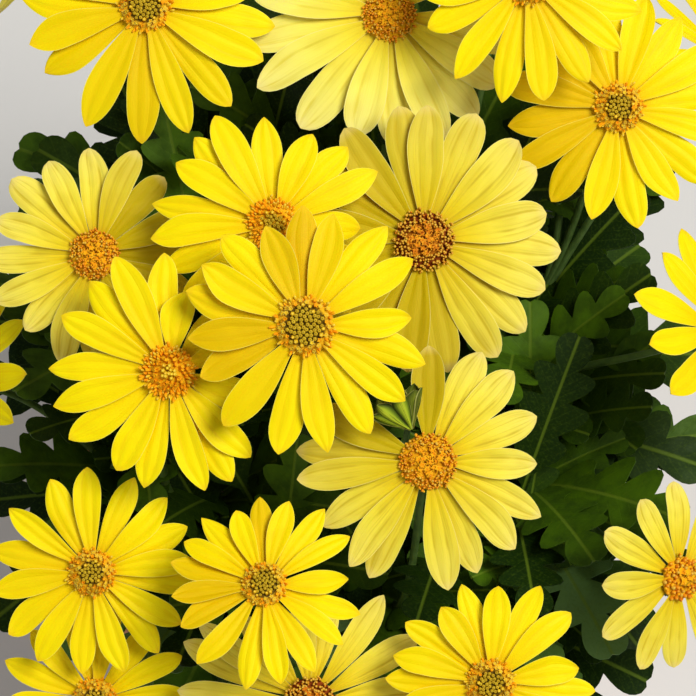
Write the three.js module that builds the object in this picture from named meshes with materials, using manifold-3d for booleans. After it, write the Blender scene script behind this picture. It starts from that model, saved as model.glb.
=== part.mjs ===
// Potted euryops daisy: a clay pot, its soil, six leafy stems and twenty-two yellow flower heads.
// Millimetres, +Z up. The origin is the centre of the pot's flat base.

import * as THREE from 'three';
import Module from 'manifold-3d';
import { mergeVertices } from 'three/addons/utils/BufferGeometryUtils.js';

// Pot
const POT_HEIGHT = 130;
const POT_BASE_RADIUS = 50;
const POT_SHOULDER_RADIUS = 70;
const POT_RIM_RADIUS = 77;
const POT_RIM_HEIGHT = 26;
const POT_WALL = 5;
const POT_FLOOR = 7;
const POT_SIDES = 24;
const DRAIN_HOLE_RADIUS = 5;
const DRAIN_HOLE_CIRCLE = 28;
const DRAIN_HOLES = 4;

// Soil
const SOIL_LEVEL = 112;
const SOIL_LUMP = 1.6;
const SOIL_FIT = 0.3;

// Leafy stems
const STEM_FOOT_RADIUS = 3;
const STEM_TIP_RADIUS = 1.6;
const STEM_DEPTH = 22;
const STEM_HOLE_FIT = 0.6;
const STEM_SIDES = 5;
const SECTOR_MARGIN = 1.5;

// Side branches: where on the stem they fork, and how far and low their tips stand
const FORK = 0.3;
const BRANCH_RADIUS = 2;
const BRANCH_LEAN = 1.15;
const BRANCH_DROP = 12;
const BRANCH_SAG = 6;

// Leaves. A branch has three, from low to high. The picks turn each one within its sector, for the
// stem's own tip and then for its two side branches.
const LEAF_PLACES = [0.48, 0.72, 0.92];
const LEAF_LENGTHS = [62, 60, 54];
const LEAF_SLOPES = [22, 38, 56];
const LEAF_BEND = 38;
const LEAF_PICKS = [[0.1, -0.35, 0.35], [-1, 0.1, -0.7], [1, -0.1, 0.7]];
const CORE_LEAVES = 6;
const LEAF_THICKNESS = 1;
const LEAF_FOOT_WIDTH = 0.012;
const LEAF_RIB_WIDTH = 0.028;
const LEAF_LOBE_REACH = [0.15, 0.2, 0.17];
const LEAF_NOTCHES = [0.26, 0.45, 0.65, 0.84];
const LEAF_LOBE_SWEEP = 0.11;

// Flower stalks and the green cups under the heads
const STALK_RADIUS = 0.9;
const STALK_SIDES = 5;
const STALK_STEPS = 3;
const STALK_SPACING = 0.09;
const CUP_DEPTH = 8;
const CUP_GAP = 0.3;

// Flower heads
const RECEPTACLE_THICKNESS = 1.2;
const RAY_THICKNESS = 0.9;
const RAY_LAYER = 1.3;
const DISC_GAP = 0.5;

// The rays' directions, in degrees counterclockwise from the head's right, and their lengths
// as shares of the head's radius.
const RAYS_OPEN = [
  [31, 1.01], [52, 1.03], [73, 0.92], [93, 0.96], [112, 0.85], [132, 0.98], [152, 0.95],
  [166, 0.99], [187, 0.94], [204, 0.93], [232, 1.03], [259, 1.05], [279, 1.03], [302, 1.01],
  [323, 1], [343, 1.01], [2, 0.85],
];
const RAYS_BESIDE_BUD = [
  [154, 0.98], [176.7, 1.05], [188, 1.05], [211, 0.99], [231, 1.04], [242.2, 1.04], [279, 1.04],
  [293.5, 0.98], [317.3, 0.98], [333.6, 1.01], [358.9, 0.87], [22.5, 0.94], [43.9, 0.99],
  [63.7, 0.97], [91.5, 0.92],
];
const RAYS_FULL = [
  [11.6, 0.91], [32.4, 0.98], [45.9, 1], [67.9, 1], [91.2, 0.98], [102.7, 1], [125.7, 1],
  [148, 0.95], [172, 0.95], [196, 0.97], [222, 1], [243, 0.98], [262, 0.96], [281.6, 0.97],
  [303.9, 1], [319.3, 0.99], [338.1, 0.95], [356.7, 1],
];
const RAYS_RAGGED = [
  [20, 0.8], [46.5, 0.66], [80, 0.68], [94.5, 0.98], [115, 1.05], [133, 1], [152, 1], [178, 1],
  [195, 1], [215, 1], [240, 0.92], [258, 0.98], [285, 1.02], [300, 1.04], [312, 0.97], [326, 0.6],
  [342, 0.8],
];
const RAYS_LEANING = [
  [26.1, 0.98], [48.8, 0.9], [65.7, 0.82], [93.7, 0.9], [116.8, 1.03], [132.6, 0.98], [146, 0.96],
  [168.9, 1.03], [184.2, 1.03], [203, 1], [222, 1], [241, 0.98], [263, 0.95], [311, 0.98],
  [333, 0.9], [356.7, 0.73],
];
const RAYS_ROUND = [
  [35, 0.97], [58, 1], [80, 0.98], [102, 1], [124, 1], [146, 0.98], [168, 1], [190, 1.04],
  [207, 1.06], [232, 1.01], [256, 0.88], [275, 0.94], [294, 0.96], [312, 0.95], [329, 0.92],
  [350, 0.95],
];
const RAYS_LOOSE = [
  [8, 0.95], [30.6, 0.95], [56, 0.98], [80, 0.78], [98, 0.74], [130, 0.82], [146, 1.03],
  [157, 1.06], [176, 1.01], [198, 1], [220, 1], [243, 0.98], [266, 1], [290, 0.98], [315, 1],
  [341, 0.97],
];
const RAYS_SIDE = [
  [6, 0.97], [26, 1], [43, 1], [67, 0.98], [92, 1], [117, 0.97], [142, 1], [166, 1], [190, 0.98],
  [214, 1], [238, 1], [262, 0.98], [286, 1], [310, 1], [329, 0.98], [354, 1],
];

// evenRays: a full ring of rays at even steps from a first direction
function evenRays(count, first) {
  const rays = [];
  for (let i = 0; i < count; i += 1) {
    const wave = Math.sin(2.4 * i + first);
    rays.push([first + (360 * i) / count, 0.97 + 0.05 * wave]);
  }
  return rays;
}

// The heads' field: a plane that faces steeply up and to the front of the plant.
const FIELD_CENTRE = new THREE.Vector3(0, -22, 262);
const FIELD_PITCH = THREE.MathUtils.degToRad(66);
const FIELD_ACROSS = new THREE.Vector3(1, 0, 0);
const FIELD_ALONG = new THREE.Vector3(0, Math.sin(FIELD_PITCH), Math.cos(FIELD_PITCH));
const FIELD_OUT = new THREE.Vector3(0, -Math.cos(FIELD_PITCH), Math.sin(FIELD_PITCH));

// Heads in the field: place across, along and out of it, radius, disc radius, the stem that bears
// it, its rays, the turn of their ring and the head's lean in degrees, and whether it has gone pale.
const FIELD_HEADS = [
  { across: -46.7, along: 78.5, out: -14, radius: 29.8, disc: 6.3, stem: 2, rays: RAYS_OPEN, turn: 10 },
  { across: 9.5, along: 77.2, out: -18, radius: 32.9, disc: 6.5, stem: 1, rays: RAYS_ROUND, pale: true },
  { across: 40.1, along: 82.4, out: 0, radius: 26.4, disc: 6, stem: 0, rays: RAYS_OPEN },
  { across: 62.1, along: 55.2, out: -14, radius: 27.6, disc: 6, stem: 0, rays: evenRays(16, 166) },
  { across: -16.8, along: 27.7, out: 1, radius: 26.8, disc: 6, stem: 5, rays: RAYS_LEANING },
  { across: 17.2, along: 24.3, out: -6, radius: 31.3, disc: 7.1, stem: 5, rays: RAYS_FULL, pale: true },
  { across: -9.4, along: 4.9, out: 14, radius: 27.4, disc: 7, stem: 5, rays: RAYS_OPEN },
  { across: -39.7, along: -5.3, out: 5, radius: 27, disc: 6.3, stem: 3, rays: RAYS_RAGGED },
  { across: 17.8, along: -25.3, out: 2, radius: 28.1, disc: 6.7, stem: 4, rays: RAYS_BESIDE_BUD, pale: true },
  { across: -18.4, along: -52.4, out: 9.5, radius: 21.8, disc: 5.2, stem: 4, rays: RAYS_OPEN, lean: 22 },
  { across: -58.2, along: -51, out: -8, radius: 23.9, disc: 5.6, stem: 3, rays: RAYS_SIDE },
  { across: -58.4, along: -81.2, out: -16, radius: 22.7, disc: 5.4, stem: 3, rays: evenRays(14, 28) },
  { across: -8.6, along: -80.5, out: -8, radius: 30.1, disc: 6, stem: 4, rays: RAYS_LOOSE, pale: true },
  { across: 31.7, along: -74.7, out: 2, radius: 23.6, disc: 5.8, stem: 4, rays: RAYS_OPEN, turn: 11 },
  { across: -58, along: 21.3, out: -12, radius: 25.6, disc: 6, stem: 2, rays: evenRays(16, 70), pale: true },
];

// Heads on the plant's other sides: place, the way they face, radius, disc radius and stem.
const OUTER_RAYS = 12;
const OUTER_HEADS = [
  { at: [88, -6, 236], faces: [0.62, -0.08, 0.78], radius: 26, disc: 6, stem: 0 },
  { at: [78, -60, 214], faces: [0.5, -0.45, 0.74], radius: 24, disc: 5.6, stem: 0, pale: true },
  { at: [-94, -14, 226], faces: [-0.64, -0.12, 0.76], radius: 25, disc: 5.8, stem: 3 },
  { at: [-66, 92, 250], faces: [-0.42, 0.5, 0.76], radius: 27, disc: 6.2, stem: 2, pale: true },
  { at: [-12, 108, 258], faces: [-0.05, 0.56, 0.83], radius: 25, disc: 5.8, stem: 1 },
  { at: [44, 104, 262], faces: [0.2, 0.5, 0.84], radius: 26, disc: 6, stem: 1 },
  { at: [92, 58, 252], faces: [0.6, 0.3, 0.74], radius: 25, disc: 5.8, stem: 0 },
];

// The flower bud: the stem that bears it, and its foot and tip in the heads' field.
const BUD = { stem: 4, across: 13, along: -17.3, out: 8, tipAcross: 11.7, tipAlong: -10.2, tipOut: 10 };
const BUD_RADIUS = 3;
const BUD_STALK_RADIUS = 0.7;

// Leafy stems: the middle of the sector that each fills and half its width, in degrees, where its
// foot stands, how far its tip leans out and how high it is. The last stands in the middle.
const STEMS = [
  { middle: 1.5, half: 46, foot: 15, lean: 46, height: 186, fan: 26 },
  { middle: 80, half: 31.5, foot: 17, lean: 52, height: 208, fan: 17 },
  { middle: 147.5, half: 35, foot: 15, lean: 48, height: 204, fan: 20 },
  { middle: 216.5, half: 33, foot: 16, lean: 48, height: 180, fan: 18 },
  { middle: 282.5, half: 32, foot: 17, lean: 50, height: 166, fan: 18 },
  { middle: 60, half: 180, foot: 1, lean: 2, height: 202, fan: 0 },
];

const rad = THREE.MathUtils.degToRad;
const UP = new THREE.Vector3(0, 0, 1);

const MATERIALS = {
  clay: new THREE.MeshStandardMaterial({ color: 0xb5633f, roughness: 0.9, metalness: 0 }),
  soil: new THREE.MeshStandardMaterial({ color: 0x33241a, roughness: 1, metalness: 0 }),
  green: new THREE.MeshStandardMaterial({ color: 0x3c5c24, roughness: 0.7, metalness: 0 }),
  yellow: new THREE.MeshStandardMaterial({ color: 0xf7dc08, roughness: 0.6, metalness: 0 }),
  pale: new THREE.MeshStandardMaterial({ color: 0xf0dc5a, roughness: 0.6, metalness: 0 }),
  disc: new THREE.MeshStandardMaterial({ color: 0xc9781f, roughness: 0.8, metalness: 0 }),
};

const wasm = await Module();
wasm.setup();

// toSolid: a closed geometry as a solid that can be joined and cut
function toSolid(geometry) {
  const bare = geometry.clone();
  bare.deleteAttribute('normal');
  bare.deleteAttribute('uv');
  const merged = mergeVertices(bare, 1e-5);
  const solid = new wasm.Manifold(new wasm.Mesh({
    numProp: 3,
    vertProperties: new Float32Array(merged.attributes.position.array),
    triVerts: new Uint32Array(merged.index.array),
  }));
  return solid;
}

// toGeometry: a solid as a geometry
function toGeometry(solid) {
  const mesh = solid.getMesh();
  const geometry = new THREE.BufferGeometry();
  geometry.setAttribute('position', new THREE.BufferAttribute(mesh.vertProperties, 3));
  geometry.setIndex(new THREE.BufferAttribute(mesh.triVerts, 1));
  geometry.computeVertexNormals();
  return geometry;
}

// geometryOf: a geometry from points and triangles
function geometryOf(points, triangles) {
  const geometry = new THREE.BufferGeometry();
  const numbers = points.flatMap((point) => [point.x, point.y, point.z]);
  geometry.setAttribute('position', new THREE.Float32BufferAttribute(numbers, 3));
  geometry.setIndex(triangles.flat());
  geometry.computeVertexNormals();
  return geometry;
}

// loft: a closed tube through rings of points, each ring with as many points
function loft(rings) {
  const sides = rings[0].length;
  const points = rings.flat();
  const triangles = [];
  for (let r = 0; r + 1 < rings.length; r += 1) {
    for (let s = 0; s < sides; s += 1) {
      const a = r * sides + s;
      const b = r * sides + ((s + 1) % sides);
      triangles.push([a, b, b + sides], [a, b + sides, a + sides]);
    }
  }
  const last = (rings.length - 1) * sides;
  for (let s = 1; s + 1 < sides; s += 1) {
    triangles.push([0, s + 1, s], [last, last + s, last + s + 1]);
  }
  return geometryOf(points, triangles);
}

// ringAt: points round a centre, in the plane across a direction
function ringAt(centre, direction, side, radius, sides) {
  const u = side.clone().addScaledVector(direction, -side.dot(direction)).normalize();
  const v = new THREE.Vector3().crossVectors(direction, u);
  const ring = [];
  for (let s = 0; s < sides; s += 1) {
    const angle = (2 * Math.PI * s) / sides;
    const point = centre.clone();
    point.addScaledVector(u, radius * Math.cos(angle));
    point.addScaledVector(v, radius * Math.sin(angle));
    ring.push(point);
  }
  return ring;
}

// turned: a round geometry about +Z from a profile of radius and height that starts and ends
// on the axis
function turned(profile) {
  const outline = profile.map(([radius, height]) => new THREE.Vector2(radius, height));
  const lathe = new THREE.LatheGeometry(outline, POT_SIDES);
  lathe.rotateX(Math.PI / 2);
  return lathe;
}

// potWallInside: the radius of the pot's inner wall at a height
function potWallInside(height) {
  const share = height / POT_HEIGHT;
  const outer = POT_BASE_RADIUS + (POT_SHOULDER_RADIUS - POT_BASE_RADIUS) * share;
  return outer - POT_WALL;
}

// makePot: tapered wall, rim band, floor and drain holes
function makePot() {
  const rimFoot = POT_HEIGHT - POT_RIM_HEIGHT;
  const shoulder = potWallInside(rimFoot) + POT_WALL;
  const body = toSolid(turned([
    [0, 0],
    [POT_BASE_RADIUS - 2, 0],
    [POT_BASE_RADIUS, 2],
    [shoulder, rimFoot],
    [POT_RIM_RADIUS - 1.5, rimFoot],
    [POT_RIM_RADIUS, rimFoot + 2],
    [POT_RIM_RADIUS, POT_HEIGHT - 2],
    [POT_RIM_RADIUS - 2, POT_HEIGHT],
    [potWallInside(POT_HEIGHT) + 1, POT_HEIGHT],
    [potWallInside(POT_HEIGHT) - 0.5, POT_HEIGHT - 2],
    [potWallInside(POT_FLOOR), POT_FLOOR],
    [0, POT_FLOOR],
  ]));
  let pot = body;
  for (let i = 0; i < DRAIN_HOLES; i += 1) {
    const angle = (2 * Math.PI * (i + 0.5)) / DRAIN_HOLES;
    const hole = new THREE.CylinderGeometry(DRAIN_HOLE_RADIUS, DRAIN_HOLE_RADIUS, 3 * POT_FLOOR, 8);
    hole.rotateX(Math.PI / 2);
    hole.translate(DRAIN_HOLE_CIRCLE * Math.cos(angle), DRAIN_HOLE_CIRCLE * Math.sin(angle), 0);
    pot = pot.subtract(toSolid(hole));
  }
  return toGeometry(pot);
}

// soilHeight: the soil's lumpy top at a place
function soilHeight(x, y) {
  const lumps = Math.sin(0.19 * x + 1.3) * Math.cos(0.23 * y) + 0.6 * Math.sin(0.41 * y - 0.17 * x);
  return SOIL_LEVEL + SOIL_LUMP * lumps * 0.6;
}

// stemFoot: where a stem stands in the soil
function stemFoot(stem) {
  const angle = rad(stem.middle);
  return new THREE.Vector3(stem.foot * Math.cos(angle), stem.foot * Math.sin(angle), SOIL_LEVEL);
}

// makeSoil: a plug that fills the pot, lumpy on top, with a plain hole for each stem
function makeSoil() {
  const bottom = POT_FLOOR + SOIL_FIT;
  const edge = potWallInside(SOIL_LEVEL) - SOIL_FIT;
  const plug = turned([
    [0, bottom],
    [potWallInside(bottom) - SOIL_FIT, bottom],
    [edge, SOIL_LEVEL],
    [edge * 0.78, SOIL_LEVEL],
    [edge * 0.52, SOIL_LEVEL],
    [edge * 0.24, SOIL_LEVEL],
    [0, SOIL_LEVEL],
  ]);
  const place = plug.attributes.position;
  for (let i = 0; i < place.count; i += 1) {
    const out = Math.hypot(place.getX(i), place.getY(i));
    if (place.getZ(i) > SOIL_LEVEL - 1 && out < edge - 1) {
      place.setZ(i, soilHeight(place.getX(i), place.getY(i)));
    }
  }
  let soil = toSolid(plug);
  const depth = STEM_DEPTH + SOIL_FIT;
  const radius = STEM_FOOT_RADIUS + STEM_HOLE_FIT;
  for (const stem of STEMS) {
    const foot = stemFoot(stem);
    const hole = new THREE.CylinderGeometry(radius, radius, 2 * depth, 10);
    hole.rotateX(Math.PI / 2);
    hole.translate(foot.x, foot.y, SOIL_LEVEL);
    soil = soil.subtract(toSolid(hole));
  }
  return toGeometry(soil);
}

// stemCurve: straight up out of the soil, then leaning out
function stemCurve(stem) {
  const foot = stemFoot(stem);
  const angle = rad(stem.middle);
  const start = foot.clone().setZ(SOIL_LEVEL + 4);
  const rise = stem.height - start.z;
  const bend = foot.clone().setZ(start.z + 0.45 * rise);
  const tip = new THREE.Vector3(stem.lean * Math.cos(angle), stem.lean * Math.sin(angle), stem.height);
  return new THREE.QuadraticBezierCurve3(start, bend, tip);
}

// stemSolid: the woody stem, down into its hole in the soil
function stemSolid(stem) {
  const curve = stemCurve(stem);
  const side = new THREE.Vector3(-Math.sin(rad(stem.middle)), Math.cos(rad(stem.middle)), 0);
  const foot = stemFoot(stem).setZ(SOIL_LEVEL - STEM_DEPTH);
  const rings = [ringAt(foot, UP, side, STEM_FOOT_RADIUS, STEM_SIDES)];
  const steps = 5;
  for (let i = 0; i <= steps; i += 1) {
    const share = i / steps;
    const radius = STEM_FOOT_RADIUS + (STEM_TIP_RADIUS - STEM_FOOT_RADIUS) * share;
    rings.push(ringAt(curve.getPoint(share), curve.getTangent(share), side, radius, STEM_SIDES));
  }
  return toSolid(loft(rings));
}

// branchCurves: a stem's own curve and its two side branches, which fan out within its sector
function branchCurves(stem) {
  const main = stemCurve(stem);
  if (!stem.fan) {
    return [main];
  }
  const sides = [-1, 1].map((side) => {
    const angle = rad(stem.middle + side * stem.fan);
    const out = BRANCH_LEAN * stem.lean;
    const start = main.getPoint(FORK);
    const tip = new THREE.Vector3(out * Math.cos(angle), out * Math.sin(angle), stem.height - BRANCH_DROP);
    const bend = start.clone().lerp(tip, 0.5);
    bend.z -= BRANCH_SAG;
    return new THREE.QuadraticBezierCurve3(start, bend, tip);
  });
  return [main, ...sides];
}

// branchSolid: a side branch, rooted in its stem
function branchSolid(curve) {
  const steps = 3;
  const rings = [];
  for (let i = 0; i <= steps; i += 1) {
    const share = i / steps;
    const radius = BRANCH_RADIUS + (STEM_TIP_RADIUS - BRANCH_RADIUS) * share;
    rings.push(ringAt(curve.getPoint(share), curve.getTangent(share), UP, radius, STALK_SIDES));
  }
  return toSolid(loft(rings));
}

// leafPlan:the leaves of a stem, from low to high, each with its place on the stem, its length,
// heading, first slope and bend, in millimetres and radians
function leafPlan(stem, index) {
  const plan = [];
  if (!stem.fan) {
    for (let i = 0; i < CORE_LEAVES; i += 1) {
      const base = stemCurve(stem).getPoint(0.5 + 0.09 * i);
      const heading = rad(137.5 * i + 20);
      plan.push({ base, length: 46, heading, slope: rad(64 + 3 * i), bend: rad(18) });
    }
    return plan;
  }
  branchCurves(stem).forEach((curve, branch) => {
    LEAF_PICKS[branch].forEach((pick, i) => {
      const base = curve.getPoint(LEAF_PLACES[i]);
      const length = LEAF_LENGTHS[i] + 4 * Math.sin(2.1 * i + index + 3 * branch);
      const slope = rad(LEAF_SLOPES[i] + 5 * Math.sin(3.7 * i + 2 * index + branch));
      const bend = rad(LEAF_BEND + 8 * Math.sin(1.7 * i + index + branch));
      // A leaf heads out within its own sector, so that it stays clear of the next stem's leaves.
      const reach = length * Math.cos(slope - bend / 2);
      const aside = Math.atan2(base.y, base.x) - rad(stem.middle);
      const toEdge = Math.hypot(base.x, base.y) * Math.sin(rad(stem.half) - Math.sign(pick) * aside);
      const room = toEdge - LEAF_LOBE_REACH[1] * length - SECTOR_MARGIN;
      const most = rad(stem.half) + Math.asin(THREE.MathUtils.clamp(room / reach, -0.95, 0.95));
      plan.push({ base, length, heading: rad(stem.middle) + pick * most, slope, bend });
    });
  });
  return plan;
}

// leafPoint: a point on the leaf's arched midrib at a share of its length
function leafPoint(leaf, share) {
  const turn = leaf.bend * share;
  const radius = leaf.length / leaf.bend;
  const out = radius * (Math.sin(leaf.slope) - Math.sin(leaf.slope - turn));
  const up = radius * (Math.cos(leaf.slope - turn) - Math.cos(leaf.slope));
  const point = leaf.base.clone();
  point.x += out * Math.cos(leaf.heading);
  point.y += out * Math.sin(leaf.heading);
  point.z += up;
  return point;
}

// leafSolid: an arched blade along a midrib, cut into three pairs of lobes and a last one
function leafSolid(leaf) {
  const across = new THREE.Vector3(-Math.sin(leaf.heading), Math.cos(leaf.heading), 0);
  const points = [];
  const triangles = [];
  const addPoint = (share, offset, level) => {
    const slope = leaf.slope - leaf.bend * share;
    const point = leafPoint(leaf, share).addScaledVector(across, offset);
    point.x -= level * Math.sin(slope) * Math.cos(leaf.heading);
    point.y -= level * Math.sin(slope) * Math.sin(leaf.heading);
    point.z += level * Math.cos(slope);
    points.push(point);
    return points.length - 1;
  };
  const half = LEAF_THICKNESS / 2;
  const shares = [0, ...LEAF_NOTCHES];
  const sections = shares.map((share) => {
    const width = (share === 0 ? LEAF_FOOT_WIDTH : LEAF_RIB_WIDTH) * leaf.length;
    return {
      share,
      rightLow: addPoint(share, -width, -half),
      leftLow: addPoint(share, width, -half),
      leftHigh: addPoint(share, width, half),
      rightHigh: addPoint(share, -width, half),
    };
  });
  const first = sections[0];
  triangles.push([first.rightLow, first.leftHigh, first.leftLow]);
  triangles.push([first.rightLow, first.rightHigh, first.leftHigh]);
  for (let i = 0; i + 1 < sections.length; i += 1) {
    const a = sections[i];
    const b = sections[i + 1];
    triangles.push([a.rightHigh, b.rightHigh, b.leftHigh], [a.rightHigh, b.leftHigh, a.leftHigh]);
    triangles.push([a.rightLow, b.leftLow, b.rightLow], [a.rightLow, a.leftLow, b.leftLow]);
    if (i === 0) {
      triangles.push([a.rightLow, b.rightLow, b.rightHigh], [a.rightLow, b.rightHigh, a.rightHigh]);
      triangles.push([a.leftLow, b.leftHigh, b.leftLow], [a.leftLow, a.leftHigh, b.leftHigh]);
      continue;
    }
    const tipShare = (a.share + b.share) / 2 + LEAF_LOBE_SWEEP;
    const reach = LEAF_LOBE_REACH[i - 1] * leaf.length;
    const left = addPoint(tipShare, reach, 0);
    const right = addPoint(tipShare, -reach, 0);
    triangles.push([a.leftHigh, b.leftHigh, left], [a.leftLow, left, b.leftLow]);
    triangles.push([a.leftLow, a.leftHigh, left], [b.leftHigh, b.leftLow, left]);
    triangles.push([a.rightHigh, right, b.rightHigh], [a.rightLow, b.rightLow, right]);
    triangles.push([a.rightLow, right, a.rightHigh], [b.rightHigh, right, b.rightLow]);
  }
  const end = sections[sections.length - 1];
  const tip = addPoint(1.06, 0, 0);
  triangles.push([end.rightHigh, tip, end.leftHigh], [end.rightLow, end.leftLow, tip]);
  triangles.push([end.rightLow, tip, end.rightHigh], [end.leftLow, end.leftHigh, tip]);
  return toSolid(geometryOf(points, triangles));
}

// fieldFrame: a field head's centre, the way it faces, and its own right and up
function fieldFrame(head) {
  const centre = FIELD_CENTRE.clone();
  centre.addScaledVector(FIELD_ACROSS, head.across);
  centre.addScaledVector(FIELD_ALONG, head.along);
  centre.addScaledVector(FIELD_OUT, head.out);
  const lean = rad(head.lean ?? 0);
  const normal = FIELD_OUT.clone().multiplyScalar(Math.cos(lean));
  normal.addScaledVector(FIELD_ALONG, Math.sin(lean)).normalize();
  const right = FIELD_ACROSS.clone();
  const up = new THREE.Vector3().crossVectors(normal, right);
  return { centre, normal, right, up };
}

// outerFrame: the same for a head on another side of the plant
function outerFrame(head) {
  const normal = new THREE.Vector3(...head.faces).normalize();
  const right = new THREE.Vector3().crossVectors(UP, normal).normalize();
  const up = new THREE.Vector3().crossVectors(normal, right);
  return { centre: new THREE.Vector3(...head.at), normal, right, up };
}

// arch: how far a ray rises above the flower base at a share of the head's radius
function arch(share, radius) {
  return radius * (0.1 * share - 0.14 * share * share);
}

// makeRays: a flower base whose rim carries the rays, alternately in an upper and a lower layer
function makeRays(head) {
  const rays = head.rays;
  const count = rays.length;
  const base = head.disc - 0.8;
  const turn = head.turn ?? 0;
  const angles = rays.map(([angle]) => angle + turn);
  const points = [];
  const triangles = [];
  const at = (angle, out, side, level) => {
    const c = Math.cos(angle);
    const s = Math.sin(angle);
    points.push(new THREE.Vector3(out * c - side * s, out * s + side * c, level));
    return points.length - 1;
  };
  const gaps = angles.map((angle, i) => (((angles[(i + 1) % count] - angle) % 360) + 360) % 360);
  // Corner i stands halfway between ray i and the ray before it.
  for (let i = 0; i < count; i += 1) {
    const before = gaps[(i + count - 1) % count];
    at(rad(angles[i] - before / 2), base, 0, 0);
    at(rad(angles[i] - before / 2), base, 0, -RECEPTACLE_THICKNESS);
  }
  for (let i = 1; i + 1 < count; i += 1) {
    triangles.push([0, 2 * i, 2 * i + 2], [1, 2 * i + 3, 2 * i + 1]);
  }
  rays.forEach(([, length], i) => {
    const angle = rad(angles[i]);
    const reach = length * head.radius;
    const layer = i % 2 === 0 ? 0.1 : 0.1 - RAY_LAYER;
    const widest = 0.128 * head.radius;
    const stations = [
      { out: 0.34 * head.radius, half: 0.058 * head.radius, ridge: RAY_THICKNESS },
      { out: 0.64 * reach, half: widest, ridge: RAY_THICKNESS },
      { out: 0.88 * reach, half: 0.68 * widest, ridge: 0.8 * RAY_THICKNESS },
    ].map((station, k) => {
      const level = layer + arch(station.out / head.radius, head.radius);
      const room = [gaps[(i + count - 1) % count], gaps[i]].map((gap) => (
        k === 0 ? Math.min(station.half, 0.93 * station.out * Math.tan(rad(gap / 2))) : station.half
      ));
      return {
        right: at(angle, station.out, -room[0], level),
        left: at(angle, station.out, room[1], level),
        ridge: at(angle, station.out, 0, level + station.ridge),
      };
    });
    const tipLevel = layer + arch(reach / head.radius, head.radius) + 0.3;
    const tip = at(angle, reach, 0, tipLevel);
    const right = { high: 2 * i, low: 2 * i + 1 };
    const next = (i + 1) % count;
    const left = { high: 2 * next, low: 2 * next + 1 };
    const root = stations[0];
    triangles.push([right.low, root.left, root.right], [right.low, left.low, root.left]);
    triangles.push([right.low, root.right, right.high], [left.low, left.high, root.left]);
    triangles.push([right.high, root.right, root.ridge], [right.high, root.ridge, left.high]);
    triangles.push([left.high, root.ridge, root.left]);
    for (let k = 0; k + 1 < stations.length; k += 1) {
      const a = stations[k];
      const b = stations[k + 1];
      triangles.push([a.right, b.left, b.right], [a.right, a.left, b.left]);
      triangles.push([a.right, b.right, b.ridge], [a.right, b.ridge, a.ridge]);
      triangles.push([a.ridge, b.ridge, b.left], [a.ridge, b.left, a.left]);
    }
    const end = stations[stations.length - 1];
    triangles.push([end.right, end.left, tip], [end.right, tip, end.ridge], [end.ridge, tip, end.left]);
  });
  return geometryOf(points, triangles);
}

// makeDisc: a dome of florets in relief, with a spiky rim
function makeDisc(head) {
  const columns = 14;
  const points = [];
  const ring = (radius, level, count, offset, change) => {
    const first = points.length;
    for (let i = 0; i < count; i += 1) {
      const angle = (2 * Math.PI * (i + offset)) / count;
      const out = radius * (i % 2 === 0 ? 1 : change.out);
      const height = level + (i % 2 === 0 ? 0 : change.level);
      points.push(new THREE.Vector3(out * Math.cos(angle), out * Math.sin(angle), height));
    }
    return first;
  };
  const flat = { out: 1, level: 0 };
  const r = head.disc;
  const foot = ring(0.84 * r, DISC_GAP, columns, 0, flat);
  const rim = ring(1.02 * r, DISC_GAP + 1.3, columns, 0, { out: 0.86, level: -0.4 });
  const crown = ring(0.68 * r, DISC_GAP + 2.1, columns, 0.5, { out: 0.94, level: 0.9 });
  const inner = ring(0.36 * r, DISC_GAP + 2.9, columns / 2, 0.25, { out: 1.1, level: -0.7 });
  points.push(new THREE.Vector3(0, 0, DISC_GAP + 2.9));
  const top = points.length - 1;
  const triangles = [];
  for (let i = 0; i < columns; i += 1) {
    const j = (i + 1) % columns;
    triangles.push([foot + i, foot + j, rim + j], [foot + i, rim + j, rim + i]);
    triangles.push([rim + i, rim + j, crown + i], [crown + i, rim + j, crown + j]);
  }
  for (let i = 1; i + 1 < columns; i += 1) {
    triangles.push([foot, foot + i + 1, foot + i]);
  }
  for (let i = 0; i < columns / 2; i += 1) {
    const j = (i + 1) % (columns / 2);
    const low = crown + 2 * i;
    const middle = crown + 2 * i + 1;
    const high = crown + ((2 * i + 2) % columns);
    triangles.push([low, middle, inner + i], [inner + i, middle, inner + j]);
    triangles.push([middle, high, inner + j], [inner + i, inner + j, top]);
  }
  return geometryOf(points, triangles);
}

// stalkSolid: a stalk from the stem to a head, opening into the green cup under it
function stalkSolid(start, heading, frame, disc) {
  const end = frame.centre.clone();
  const top = -RECEPTACLE_THICKNESS - CUP_GAP;
  end.addScaledVector(frame.normal, top - CUP_DEPTH);
  const span = start.distanceTo(end);
  const curve = new THREE.CubicBezierCurve3(
    start,
    start.clone().addScaledVector(heading, 0.38 * span),
    end.clone().addScaledVector(frame.normal, -0.42 * span),
    end,
  );
  const rings = [];
  for (let i = 0; i <= STALK_STEPS; i += 1) {
    const share = i / STALK_STEPS;
    const direction = curve.getTangent(share);
    rings.push(ringAt(curve.getPoint(share), direction, frame.right, STALK_RADIUS, STALK_SIDES));
  }
  const cup = [[0.55, 0.62 * disc], [1, disc - 1.1]];
  for (const [share, radius] of cup) {
    const centre = end.clone().addScaledVector(frame.normal, share * CUP_DEPTH);
    rings.push(ringAt(centre, frame.normal, frame.right, radius, STALK_SIDES));
  }
  return toSolid(loft(rings));
}

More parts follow.
